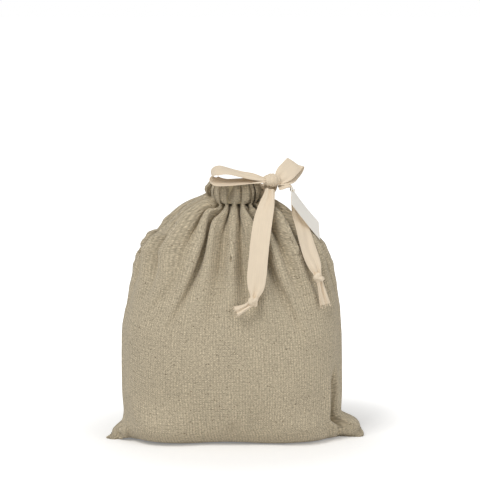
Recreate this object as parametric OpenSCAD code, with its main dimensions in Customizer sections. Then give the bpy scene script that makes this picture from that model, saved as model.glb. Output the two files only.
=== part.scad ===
// Drawstring gift sack: two cloth panels sewn into a bag, a gathered casing at
// the mouth, and one tape that runs through the casing and is tied in a bow.
// Millimetres. The front faces -Y, up is +Z, and the origin is on the floor
// under the middle of the sack.

/* [Sack] */
// Width of the filled sack at its fullest, side seam to side seam
belly_w = 235; // [180:1:300]
// Depth of the filled sack at its fullest, front to back
belly_d = 124; // [90:1:160]
// Height of the gathered mouth above the floor
sack_h = 278; // [230:1:350]
// Height of the widest level above the floor
belly_z = 60; // [40:1:90]
// Depth of the flat underside that rests on the floor
base_d = 84; // [50:1:100]
// Thickness of the cloth
cloth_t = 1.2; // [0.8:0.1:1.8]

/* [Bottom corners] */
// How far the left corner sticks out past the side
ear_left = 22; // [10:1:34]
// How far the right corner sticks out past the side
ear_right = 29; // [10:1:34]
// Height at which a corner folds back into the side
ear_h = 26; // [18:1:36]
// Height of a corner's tip above the floor
ear_lift = 6.5; // [4:0.5:12]
// Distance from the seam to the outside of a corner
ear_half_t = 3.6; // [2.6:0.2:6]

/* [Gathered mouth] */
// Width of the gathered mouth
mouth_w = 62; // [50:1:80]
// Depth of the gathered mouth
mouth_d = 42; // [36:1:56]
// Width of the hole left in the middle of the gathers
hole_w = 26; // [16:1:34]
// Depth of the hole left in the middle of the gathers
hole_d = 12; // [8:1:18]
// Height of the casing that the tape runs in
casing_h = 24; // [22:0.5:32]
// Gathers round the whole mouth
gathers = 20; // [12:2:28]
// Depth of one gather
gather_t = 2.2; // [1:0.1:3]

/* [Seams] */
// Width of a seam allowance
seam_w = 10; // [6:0.5:14]
// Thickness of a sewing thread
thread_t = 0.5; // [0.4:0.05:0.8]
// Length of one stitch
stitch_l = 2.6; // [2:0.1:3.4]

/* [Tape] */
// Width of the drawstring tape laid flat
tape_w = 20; // [16:0.5:21]
// Thickness of the drawstring tape
tape_t = 0.9; // [0.6:0.1:1.2]
// Length of the bow's knot
knot_l = 19; // [16:0.5:24]
// Thickness of the bow's knot
knot_d = 14.4; // [12:0.2:18]
// Radius of the pinched tape where a loop or tail leaves the knot
root_r = 2.2; // [1.6:0.1:2.6]
// Thickness of the knot near the end of each tail
tail_knot_d = 10.5; // [8:0.5:13]
// Length of the knot near the end of each tail
tail_knot_l = 11; // [9:0.5:14]

/* [Label] */
// Length of the hanging label
label_l = 61; // [40:1:64]
// Width of the hanging label
label_w = 27.4; // [18:0.2:30]
// Thickness of the hanging label
label_t = 0.4; // [0.3:0.05:0.8]
// Radius of the label's hole
label_hole_r = 2; // [1.6:0.1:2.4]
// Thickness of the loop of thread that holds the label
label_thread_t = 0.7; // [0.5:0.05:0.8]

/* [Hidden] */

cloth_colour = "#b3a58c";
seam_colour = "#a89a80";
tape_colour = "#e4d5bd";
thread_colour = "#cfc3a6";
label_colour = "#efece5";

gap = 0.3;                               // room left between pieces that only lie together
touch = 0.05;                            // room under a stitch
corner_span = belly_w + ear_left + ear_right;
belly_left = corner_span / 2 - ear_left; // from the origin to the left side at the fullest level
belly_right = corner_span / 2 - ear_right;
neck_z = sack_h - casing_h;              // where the panels end and the casing starts
columns = 10;                            // grid columns from the middle to each side
body_rows = 11;                          // grid rows above the corners
corner_rows = 4;                         // grid rows between a corner's tip and its top
blunt = 0.45;                            // how round the sack's side is, seen from above
pointed = 1.35;                          // the same where the corners stick out

// ---- Shared functions ----
function unit(v) = v / norm(v);
function clamp01(x) = max(0, min(1, x));

// A level's position between the fullest level and the mouth, 0 to 1
function rise(z, from) = clamp01((z - from) / (neck_z - from));

// Half the sack's width at height z, without its bottom corners
function side_reach(z, full) =
    z <= belly_z ? full - 4 * pow(1 - z / belly_z, 2)
                 : mouth_w / 2 + (full - mouth_w / 2) * pow(1 - pow(rise(z, belly_z), 3.5), 1 / 1.8);

// Half the sack's depth at height z
depth_z = belly_z + 20;                  // the front is fullest a little above the sides
function half_depth(z) =
    z <= depth_z ? base_d / 2 + 4 + (belly_d - base_d - 8) / 2 * pow(sin(90 * z / depth_z), 0.7)
                 : mouth_d / 2 + (belly_d - mouth_d) / 2 * pow(1 - pow(rise(z, depth_z), 2.6), 1 / 1.6);

// How much of a bottom corner is left at height z, 0 to 1
function corner(z) =
    z >= ear_h ? 0
    : z <= ear_lift ? 0.6 + 0.4 * sin(90 * z / ear_lift)
    : pow(1 - pow((z - ear_lift) / (ear_h - ear_lift), 2), 0.8);

// The cloth's thickness measured level, where the wall leans by dx over dz
function level_t(dx, dz) = cloth_t * min(2.2, norm([1, dx / dz]));
function side_slope(z, full) = side_reach(z, full) - side_reach(z - 1, full);
function side_t(z, full) = z < ear_h + 1 ? cloth_t : level_t(side_slope(z, full), 1);
function front_t(z) = z < 4 ? cloth_t : level_t(half_depth(z) - half_depth(z - 1), 1);

// Distance from the seam plane to the panel at a share s of its width, -1 to 1.
// inside is 0 on the outer face and 1 on the inner face.
function full_of(s) = s < 0 ? belly_left : belly_right;
function ear_of(s) = s < 0 ? ear_left : ear_right;
function edge_x(z, s, inside) =
    side_reach(z, full_of(s)) + corner(z) * ear_of(s) - inside * side_t(z, full_of(s));
// The section is full where the body is, and comes to a point where the corners are
function panel_y(z, s, inside) =
    let (ear = corner(z) * (ear_half_t - inside * cloth_t) * sqrt(1 - pow(abs(s), 6)),
         depth = half_depth(z) - inside * front_t(z))
    ear + (depth - ear) * pow(1 - pow(abs(s), 2.4), blunt + (pointed - blunt) * corner(z));

// Heights of the grid rows: the seam, the edge of the underside, the corners, the body
row_z = concat([0, 0, ear_lift / 2, ear_lift],
               [for (k = [1:corner_rows]) ear_lift + (ear_h - ear_lift) * k / corner_rows],
               [for (k = [1:body_rows]) ear_h + (neck_z - ear_h) * sin(90 * k / body_rows)]);

function panel_point(j, s, inside) =
    let (z = row_z[j], lift = j < 2 ? inside * cloth_t : 0)
    [s * edge_x(z, s, inside),
     j == 0 ? 0 : -panel_y(z, s, inside) * (j == 1 ? 0.93 : 1),
     z + lift];

// ---- Cloth ----
// The front half of the sack: a skin of cloth from the bottom seam to the casing
module panel() {
    shares = [for (i = [-columns:columns]) sin(90 * i / columns)];
    w = len(shares);
    h = len(row_z);
    points = [for (inside = [0, 1]) for (j = [0:h - 1]) for (s = shares) panel_point(j, s, inside)];
    inner = w * h;
    outer_face = [for (j = [0:h - 2]) for (i = [0:w - 2])
        let (a = j * w + i) each [[a, a + w, a + 1], [a + 1, a + w, a + w + 1]]];
    inner_face = [for (f = outer_face) [f[0] + inner, f[2] + inner, f[1] + inner]];
    bottom_rim = [for (i = [0:w - 2]) each [[i, i + 1, i + inner], [i + 1, i + 1 + inner, i + inner]]];
    top = (h - 1) * w;
    top_rim = [for (i = [top:top + w - 2]) each [[i, i + inner, i + 1], [i + 1, i + inner, i + 1 + inner]]];
    left_rim = [for (j = [0:h - 2]) let (a = j * w)
        each [[a, a + inner, a + w], [a + w, a + inner, a + w + inner]]];
    right_rim = [for (j = [0:h - 2]) let (a = j * w + w - 1)
        each [[a, a + w, a + inner], [a + w, a + w + inner, a + inner]]];
    polyhedron(points, concat(outer_face, inner_face, bottom_rim, top_rim, left_rim, right_rim));
}

module front_panel() color(cloth_colour) panel();
module back_panel() color(cloth_colour) mirror([0, 1, 0]) panel();

// ---- Casing ----
// A point on an ellipse whose radius is taken in by a wave of gathers
function gathered(w, d, angle, in) =
    let (bite = in * (0.5 + 0.5 * cos(gathers * angle)))
    [(w / 2 - bite) * cos(angle), (d / 2 - bite) * sin(angle)];
steps = 6 * gathers / 2;                 // points round half of the mouth
half_turn = [for (k = [0:steps]) 180 + 180 * k / steps];

run_w = (mouth_w + hole_w) / 2 + 4;      // ellipse that the tape follows inside the casing
run_d = (mouth_d + hole_d) / 2 + 4;
channel_t = tape_t + 2 * gap;            // room for the tape
run_z = neck_z + (casing_h - tape_w) / 2; // lower edge of the tape in the casing
exit_d = 2 * (tape_t + 2 * gap) + 3;     // gap in the right seam that both tape ends leave by

// The space between two ellipses, over the front half
module half_ring(w_out, d_out, w_in, d_in, h, wave_out, wave_in)
    linear_extrude(h)
        polygon(concat([for (a = half_turn) gathered(w_out, d_out, a, wave_out)],
                       [for (k = [steps:-1:0]) gathered(w_in, d_in, half_turn[k], wave_in)]));

module casing()
    difference() {
        translate([0, 0, neck_z])
            half_ring(mouth_w, mouth_d, hole_w, hole_d, casing_h, gather_t, -gather_t / 2);
        translate([0, 0, run_z - gap])
            half_ring(run_w + channel_t, run_d + channel_t, run_w - channel_t, run_d - channel_t,
                      tape_w + 2 * gap, 0, 0);
        translate([run_w / 2 - 1, -exit_d / 2, run_z - gap])
            cube([mouth_w, exit_d, tape_w + 2 * gap]);
    }

module front_casing() color(cloth_colour) casing();
module back_casing() color(cloth_colour) mirror([0, 1, 0]) casing();

// One stitch on each gather, below the tape
module stitches()
    for (k = [0:gathers / 2 - 1]) {
        angle = 180 + 360 * (k + 0.5) / gathers;
        p = gathered(mouth_w, mouth_d, angle, gather_t);
        out = unit([p[0] / pow(mouth_w / 2, 2), p[1] / pow(mouth_d / 2, 2)]);
        translate([p[0], p[1], neck_z + 1])
            rotate([0, 0, atan2(out[1], out[0])])
                translate([touch, -stitch_l / 2, 0])
                    cube([thread_t, stitch_l, thread_t]);
    }

module front_casing_stitches() color(thread_colour) stitches();
module back_casing_stitches() color(thread_colour) mirror([0, 1, 0]) stitches();

// ---- Swept tape ----
// stations are [centre, direction across, width]
module strip(stations, t) {
    n = len(stations);
    along = [for (i = [0:n - 1]) unit(stations[min(i + 1, n - 1)][0] - stations[max(i - 1, 0)][0])];
    face = [for (i = [0:n - 1]) unit(cross(along[i], stations[i][1]))];
    side = [for (i = [0:n - 1]) unit(cross(face[i], along[i]))];
    points = [for (i = [0:n - 1]) for (c = [[-1, -1], [1, -1], [1, 1], [-1, 1]])
        stations[i][0] + side[i] * stations[i][2] / 2 * c[0] + face[i] * t / 2 * c[1]];
    walls = [for (i = [0:n - 2]) for (k = [0:3])
        let (a = 4 * i + k, b = 4 * i + (k + 1) % 4)
        each [[a, a + 4, b], [b, a + 4, b + 4]]];
    last = 4 * (n - 1);
    ends = [[0, 1, 2], [0, 2, 3], [last, last + 2, last + 1], [last, last + 3, last + 2]];
    polyhedron(points, concat(walls, ends));
}

// Points of a smooth curve through the stations, with extra stations between them
function curve_at(a, b, c, d, u) =
    0.5 * (2 * b + (c - a) * u + (2 * a - 5 * b + 4 * c - d) * u * u
           + (3 * b - a - 3 * c + d) * u * u * u);
function smooth(st, parts) =
    let (n = len(st))
    concat([for (i = [0:n - 2]) for (k = [0:parts - 1])
        let (u = k / parts, a = st[max(i - 1, 0)], b = st[i], c = st[i + 1], d = st[min(i + 2, n - 1)])
        [curve_at(a[0], b[0], c[0], d[0], u), b[1] * (1 - u) + c[1] * u, b[2] * (1 - u) + c[2] * u]],
        [st[n - 1]]);

// ---- Seams inside the sack ----
seam_levels = [for (k = [1:body_rows - 2]) row_z[len(row_z) - 1 - body_rows + k]];
function inward(z, full, way) = unit([-way, 0, side_slope(z, full)]);
function seam_line(way, full, from, width) =
    [for (z = seam_levels)
        [[way * side_reach(z, full), 0, z] + inward(z, full, way) * (from + width / 2),
         inward(z, full, way), width]];
seam_t = 2 * cloth_t;
seam_from = cloth_t + 2 * gap;
overlock_from = seam_from + seam_w + touch;
overlock_w = 2 * thread_t;

module left_seam_allowance() color(seam_colour) strip(seam_line(-1, belly_left, seam_from, seam_w), seam_t);
module right_seam_allowance() color(seam_colour) strip(seam_line(1, belly_right, seam_from, seam_w), seam_t);
module left_overlock_thread()
    color(thread_colour) strip(seam_line(-1, belly_left, overlock_from, overlock_w), seam_t);
module right_overlock_thread()
    color(thread_colour) strip(seam_line(1, belly_right, overlock_from, overlock_w), seam_t);

// The bottom seam's allowance lies on the underside, turned to the back
bottom_from = seam_w - belly_left;
bottom_l = belly_w - 2 * seam_w;
module bottom_seam_allowance()
    color(seam_colour) translate([bottom_from, gap, cloth_t + touch]) cube([bottom_l, seam_w, seam_t]);
module bottom_overlock_thread()
    color(thread_colour)
        translate([bottom_from, gap + seam_w + touch, cloth_t + touch]) cube([bottom_l, overlock_w, seam_t]);

// ---- Tape in the casing and up to the knot ----
exit_angle = 9;                          // the run stops this far short of the right seam
module drawstring_run()
    color(tape_colour)
        translate([0, 0, run_z])
            linear_extrude(tape_w)
                polygon([for (ring = [1, -1]) for (k = [0:60])
                    let (a = ring > 0 ? exit_angle + (360 - 2 * exit_angle) * k / 60
                                      : 360 - exit_angle - (360 - 2 * exit_angle) * k / 60)
                    [(run_w + ring * tape_t) / 2 * cos(a), (run_d + ring * tape_t) / 2 * sin(a)]]);

knot_at = [mouth_w / 2 + 7.5, -16.5, sack_h + 3];
bow_laid_for = [38.5, -16.5, 281];       // the points of the bow, tails and label are written for a knot here
function laid(p) = p + knot_at - bow_laid_for; // and follow the knot wherever it is
lead_x = run_w / 2 + 0.3;
lead_z = run_z + tape_w / 2;
// Both leads leave the casing on edge and are drawn together into the back of the knot
module front_lead()
    color(tape_colour)
        strip(smooth([[[lead_x, -1.7, lead_z], [0, 0, 1], tape_w],
                      [[mouth_w / 2 + 1, -2.2, lead_z + 1], [0, 0, 1], 17],
                      [knot_at + [-4, 10.5, -8.5], [-0.3, 0.2, 1], 11],
                      [knot_at + [-1.5, knot_d / 2 + 0.6, -2.5], [-0.5, 0.1, 1], 8]], 3), tape_t);
module back_lead()
    color(tape_colour)
        strip(smooth([[[lead_x, 1.4, lead_z], [0, 0, 1], tape_w],
                      [[mouth_w / 2 + 2.5, 1.8, lead_z + 1], [0, 0, 1], 17],
                      [knot_at + [2, 13.5, -7], [-0.3, -0.2, 1], 11],
                      [knot_at + [4, knot_d / 2 + 0.1, -0.5], [-0.5, -0.1, 1], 8]], 3), tape_t);

// The knot: a barrel along X with rounded ends
module bow_knot()
    color(tape_colour)
        translate(knot_at)
            rotate([0, 90, 0])
                rotate_extrude($fn = 48)
                    intersection() {
                        scale([knot_d / knot_l, 1]) circle(d = knot_l, $fn = 64);
                        translate([0, -knot_l / 2]) square([knot_d, knot_l]);
                    }

// ---- Loops and tails ----
// The pinched start of a loop or tail: a short roll whose axis is the fold it moves about
module root_roll(p, axis, l)
    translate(p)
        rotate([0, acos(axis[2] / norm(axis)), atan2(axis[1], axis[0])])
            cylinder(r = root_r, h = l, center = true, $fn = 32);

left_loop_root = knot_at + [-knot_l / 2 - root_r - gap, -0.5, 0.5];
left_loop_line = [
    [left_loop_root + [-1, 0, 1], [0, 1, 0.1], 9],
    [laid([19, -19, 285.5]), [0, 1, 0.3], 13],
    [laid([6, -20, 288]), [0, 0.95, 0.45], 17],
    [laid([-7, -21, 291.5]), [0, 0.9, 0.5], 19],
    [laid([-16, -21.5, 292.5]), [0, 0.85, 0.55], tape_w],
    [laid([-22.5, -22, 289.5]), [0, 0.85, 0.55], tape_w],
    [laid([-24, -22.5, 285]), [0, 0.85, 0.55], tape_w],
    [laid([-20, -23.5, 281]), [0, 0.85, 0.55], tape_w],
    [laid([-9, -23.5, 279]), [0, 0.85, 0.55], 19],
    [laid([5, -22.5, 280]), [0, 0.9, 0.45], 17],
    [laid([18, -19.5, 280.6]), [0, 1, 0.25], 13],
    [left_loop_root + [-1, 0, -1], [0, 1, 0.1], 9]];
module left_loop()
    color(tape_colour)
        union() {
            strip(smooth(left_loop_line, 2), tape_t);
            root_roll(left_loop_root, [0, 1, 0], 10);
        }

right_loop_root = knot_at + [knot_l / 2 + root_r + 1.6, 0.5, 2];
right_loop_across = [0.77, -0.19, -0.6];
right_loop_line = [
    [right_loop_root + [0.2, 0.6, 1.2], right_loop_across, 12],
    [laid([54.3, -11.5, 287.3]), right_loop_across, 18],
    [laid([57.5, -6, 290.5]), right_loop_across, tape_w],
    [laid([61.5, 1, 294]), right_loop_across, tape_w],
    [laid([64.5, 7, 296.3]), right_loop_across, tape_w],
    [laid([65.2, 9.5, 294]), right_loop_across, tape_w],
    [laid([63, 6.5, 290.8]), right_loop_across, tape_w],
    [laid([58.5, -1.5, 287]), right_loop_across, tape_w],
    [laid([54.8, -8.5, 284]), right_loop_across, 17],
    [right_loop_root + [0.2, 0.6, -0.8], right_loop_across, 11]];
module right_loop()
    color(tape_colour)
        union() {
            strip(smooth(right_loop_line, 2), tape_t);
            root_roll(right_loop_root, right_loop_across, 7);
        }

left_tail_root = laid([37, -20.5, 272]);
left_tail_line = [
    [left_tail_root, [1, 0, 0], 10],
    [laid([36, -24, 266]), [1, 0.05, 0.2], 12],
    [laid([33, -31, 255]), [1, 0.05, 0.2], 17],
    [laid([29.5, -40, 241]), [1, 0.05, 0.15], 19.5],
    [laid([26.5, -49, 222]), [1, 0.05, 0.1], tape_w],
    [laid([24.5, -55, 203]), [1, 0.04, 0.07], tape_w],
    [laid([22.8, -59.5, 185]), [1, 0.04, 0.03], tape_w],
    [laid([22, -61.8, 173]), [1, 0.04, 0], 17],
    [laid([20.7, -63.9, 165.1]), [1, 0.04, 0], 10]];
module left_tail()
    color(tape_colour)
        union() {
            strip(smooth(left_tail_line, 2), tape_t);
            root_roll(left_tail_root, [1, 0, 0], 9);
        }

right_tail_root = laid([46, -16.5, 272.7]);
right_tail_line = [
    [right_tail_root, [0, 1, 0], 5],
    [laid([50.5, -16, 274]), [0, 1, 0], 8],
    [laid([55.3, -15.4, 275.4]), [0, 1, 0], 10],
    [laid([58.8, -14.9, 274.6]), [0, 1, 0], 11],
    [laid([60.3, -14.8, 270.5]), [0.05, 1, 0], 11],
    [laid([61.7, -15.2, 261]), [0.25, 0.97, 0], 14],
    [laid([65, -17.5, 249]), [0.5, 0.87, 0], 18],
    [laid([70, -22.5, 235.5]), [0.7, 0.71, 0], tape_w],
    [laid([75.3, -32, 217]), [0.79, 0.61, 0], tape_w],
    [laid([80.5, -38, 202]), [0.82, 0.57, 0.1], 19],
    [laid([84, -41, 192.5]), [0.85, 0.5, 0.2], 15],
    [laid([86, -42.3, 186.5]), [0.9, 0.4, 0.2], 10]];
module right_tail()
    color(tape_colour)
        union() {
            strip(smooth(right_tail_line, 2), tape_t);
            root_roll(right_tail_root, [1, 0, 0], 3);
        }

// The overhand knot near the end of a tail, a barrel along its own direction
module tail_knot(at, turn)
    color(tape_colour)
        translate(at)
            rotate(turn)
                rotate_extrude($fn = 40)
                    intersection() {
                        scale([tail_knot_d / tail_knot_l, 1]) circle(d = tail_knot_l, $fn = 48);
                        translate([0, -tail_knot_l / 2]) square([tail_knot_d, tail_knot_l]);
                    }

left_knot_at = laid([19.3, -65.6, 159.5]);
left_end_line = [
    [laid([14.5, -66, 155.8]), [0.5, 0, -0.85], 7],
    [laid([10, -66.2, 153.2]), [0.5, 0, -0.85], 7],
    [laid([5.5, -66.2, 151]), [0.45, 0, -0.9], 9],
    [laid([1.5, -66, 149]), [0.35, 0, -0.94], 11.5]];
module left_tail_knot() tail_knot(left_knot_at, [0, 20, 0]);
module left_tail_end() color(tape_colour) strip(smooth(left_end_line, 2), tape_t);

right_knot_at = laid([87.8, -43.4, 180.6]);
right_end_line = [
    [laid([89.7, -43.2, 174.6]), [1, 0.3, 0.3], 7],
    [laid([91.3, -42.8, 168.5]), [1, 0.3, 0.3], 8],
    [laid([93, -42.2, 161]), [1, 0.3, 0.25], 9.5],
    [laid([94.8, -41.6, 152.5]), [1, 0.3, 0.2], 11.5]];
module right_tail_knot() tail_knot(right_knot_at, [0, -17, 0]);
module right_tail_end() color(tape_colour) strip(smooth(right_end_line, 2), tape_t);

// ---- Label ----
// A loop of thread lies flat round the tape below its bend and passes through the label's hole
thread_at = laid([60.9, -15, 270.5]);
thread_half = 6.4;                       // from its middle to the centre of each round end
thread_r = 2.6;                          // radius of each round end
label_along = unit([31, 32, -42]);
label_face = unit(cross(label_along, [0.5, -21.5, -16]));
label_across = cross(label_face, label_along);
hole_inset = label_hole_r + 1.6;         // from each edge to the middle of the hole
label_hole = thread_at + [0, -thread_half - thread_r, 0];
label_corner = label_hole - (label_along + label_across) * hole_inset;

module label()
    color(label_colour)
        multmatrix([for (k = [0:2]) [label_along[k], label_across[k], label_face[k], label_corner[k]]])
            difference() {
                translate([0, 0, -label_t / 2]) cube([label_l, label_w, label_t]);
                translate([hole_inset, hole_inset, -label_t])
                    cylinder(r = label_hole_r, h = 2 * label_t, $fn = 32);
            }

module label_thread()
    color(thread_colour)
        translate(thread_at)
            union() {
                for (way = [-1, 1]) {
                    translate([0, way * thread_half, 0])
                        rotate([0, 0, way < 0 ? 180 : 0])
                            rotate_extrude(angle = 180, $fn = 32)
                                translate([thread_r, 0]) circle(d = label_thread_t, $fn = 16);
                    translate([way * thread_r, 0, 0])
                        rotate([90, 0, 0])
                            cylinder(d = label_thread_t, h = 2 * thread_half, center = true, $fn = 16);
                }
            }

front_panel();
back_panel();
front_casing();
back_casing();
left_seam_allowance();
right_seam_allowance();
bottom_seam_allowance();
left_overlock_thread();
right_overlock_thread();
bottom_overlock_thread();
front_casing_stitches();
back_casing_stitches();
drawstring_run();
front_lead();
back_lead();
bow_knot();
left_loop();
right_loop();
left_tail();
left_tail_knot();
left_tail_end();
right_tail();
right_tail_knot();
right_tail_end();
label();
label_thread();
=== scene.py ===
"""A full cloth gift sack, gathered at the mouth and closed by a flat tape tied in a bow.

Everything is in metres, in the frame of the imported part: the front faces -Y and the floor is z = 0.
"""

import math
from functools import lru_cache

import bmesh
import bpy
import numpy as np
from mathutils import Matrix, Vector


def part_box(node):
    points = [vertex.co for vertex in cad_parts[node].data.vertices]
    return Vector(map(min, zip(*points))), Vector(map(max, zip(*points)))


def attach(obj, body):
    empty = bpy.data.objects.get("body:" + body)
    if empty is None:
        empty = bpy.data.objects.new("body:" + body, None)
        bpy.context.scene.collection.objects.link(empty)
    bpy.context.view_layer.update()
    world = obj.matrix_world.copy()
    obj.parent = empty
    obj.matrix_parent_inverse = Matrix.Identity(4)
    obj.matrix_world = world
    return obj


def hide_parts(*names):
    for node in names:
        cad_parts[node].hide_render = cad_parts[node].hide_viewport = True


bl_info = {
    "name": "Gift Sack",
    "version": (1, 0, 0),
    "blender": (4, 5, 0),
    "location": "View3D > Sidebar > Gift Sack",
    "description": "Makes a gathered cloth gift sack with a bow, a blank label and its seams",
    "category": "Add Mesh",
}

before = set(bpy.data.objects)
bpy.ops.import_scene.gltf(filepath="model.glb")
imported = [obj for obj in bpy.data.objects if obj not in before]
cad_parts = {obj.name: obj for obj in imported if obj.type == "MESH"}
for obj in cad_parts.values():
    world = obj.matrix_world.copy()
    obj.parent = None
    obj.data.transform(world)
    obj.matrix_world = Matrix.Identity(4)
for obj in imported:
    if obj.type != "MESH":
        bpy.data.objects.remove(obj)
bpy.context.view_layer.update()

MM = 0.001
NECK_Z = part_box("front_panel")[1].z  # the panels end here and the casing starts
MOUTH_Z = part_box("front_casing")[1].z
NECK_REACH = np.array([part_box("front_casing")[1].x, -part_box("front_casing")[0].y])
BASE_REACH = 42 * MM  # half the depth of the underside
CORNER_TOP = 26 * MM  # a bottom corner folds back into the side here
CORNER_TIP = 6.5 * MM  # height of a corner's tip


# ---------------------------------------------------------------- settings


def length_setting(name, description, default, **limits):
    return bpy.props.FloatProperty(
        name=name, description=description, default=default, subtype="DISTANCE", unit="LENGTH", precision=5, **limits
    )


def colour_setting(name, description, hex_code):
    return bpy.props.FloatVectorProperty(
        name=name, description=description, default=linear(hex_code), subtype="COLOR", size=4, min=0, max=1
    )


def linear(hex_code):
    """An sRGB hex colour as linear RGBA."""
    parts = [int(hex_code[i : i + 2], 16) / 255 for i in (1, 3, 5)]
    return tuple(p / 12.92 if p <= 0.04045 else ((p + 0.055) / 1.055) ** 2.4 for p in parts) + (1.0,)


class SackSettings(bpy.types.PropertyGroup):
    flat_width: length_setting("Flat width", "Width of the sack laid flat", 0.300)
    flat_height: length_setting("Flat height", "Height of the sack laid flat", 0.350)
    cloth_thickness: length_setting("Cloth thickness", "Thickness of one layer of cloth", 0.0012)
    seam_swell: length_setting("Seam swell", "How far the cloth stands out over a seam's allowance", 0.0017)
    hole_width: length_setting("Hole width", "Half the width of the hole left in the gathers", 0.013)
    hole_depth: length_setting("Hole depth", "Half the depth of the hole left in the gathers", 0.006)
    gathers: bpy.props.IntProperty(name="Gathers", description="Gathers in each panel", default=10, min=6, max=14)
    fill: bpy.props.FloatProperty(name="Fill", description="How hard the contents press outwards", default=4.0)
    settle_frames: bpy.props.IntProperty(name="Settling", description="Steps the cloth settles for", default=34)
    seed: bpy.props.IntProperty(name="Seed", description="Seed of the uneven gathers", default=4)
    weave_pitch: length_setting("Weave pitch", "From one drawn yarn to the next", 0.0029)
    cloth: colour_setting("Cloth", "Unbleached cotton and linen", "#baad94")
    fleck: colour_setting("Fleck", "Husk spun into the yarn", "#5a4c36")
    stitch_length: length_setting("Stitch length", "Length of one stitch", 0.0026)
    stitch_spacing: length_setting("Stitch spacing", "From the middle of one stitch to the next", 0.0038)
    thread_thickness: length_setting("Thread thickness", "Thickness of the sewing thread", 0.0005)
    thread: colour_setting("Thread", "Undyed sewing thread", "#cdbf9f")


class TapeSettings(bpy.types.PropertyGroup):
    width: length_setting("Tape width", "Width of the tape laid flat", 0.020)
    thickness: length_setting("Tape thickness", "Thickness of the tape", 0.0008)
    tape: colour_setting("Tape", "Cream cotton tape", "#e7d6bd")
    fray_length: length_setting("Fray length", "Length of the loose yarns at a cut end", 0.004)


class LabelSettings(bpy.types.PropertyGroup):
    length: length_setting("Label length", "Length of the hanging label", 0.061)
    width: length_setting("Label width", "Width of the hanging label", 0.0274)
    thickness: length_setting("Label thickness", "Thickness of the card", 0.0004)
    card: colour_setting("Card", "Uncoated white card", "#fbf7ee")


# ---------------------------------------------------------------- materials


def add(tree, kind, inputs=None, **settings):
    """Adds a node with its settings, and with each input set to a value or linked to a socket."""
    node = tree.nodes.new(kind)
    for key, value in settings.items():
        setattr(node, key, value)
    for key, value in (inputs or {}).items():
        if isinstance(value, bpy.types.NodeSocket):
            tree.links.new(value, node.inputs[key])
        else:
            node.inputs[key].default_value = value
    return node


def new_material(name):
    """A material with an empty tree, and that tree."""
    found = bpy.data.materials.get(name)
    if found:
        bpy.data.materials.remove(found)
    material = bpy.data.materials.new(name)
    material.use_nodes = True
    material.node_tree.nodes.clear()
    return material, material.node_tree


def calc(tree, operation, a, b=0.0, c=0.0):
    return add(tree, "ShaderNodeMath", {0: a, 1: b, 2: c}, operation=operation).outputs[0]


def stretched_noise(tree, vector, across, along, detail=2.0):
    """Noise whose features are this wide and this long, in metres, on the vector's first two axes."""
    scaled = add(
        tree, "ShaderNodeVectorMath", {0: vector, 1: (1 / across, 1 / along, 0.0)}, operation="MULTIPLY"
    ).outputs[0]
    return add(tree, "ShaderNodeTexNoise", {"Vector": scaled, "Scale": 1.0, "Detail": detail}).outputs["Fac"]


def tinted(tree, factor, low, high):
    """A factor mapped onto a multiplier from low to high."""
    return add(tree, "ShaderNodeMapRange", {"Value": factor, "From Min": 0.25, "From Max": 0.75,
                                            "To Min": low, "To Max": high}).outputs[0]


def scaled_colour(tree, colour, amount):
    return add(tree, "ShaderNodeVectorMath", {0: colour, 3: amount}, operation="SCALE").outputs[0]


def output(tree, shader):
    add(tree, "ShaderNodeOutputMaterial", {"Surface": shader})


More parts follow.
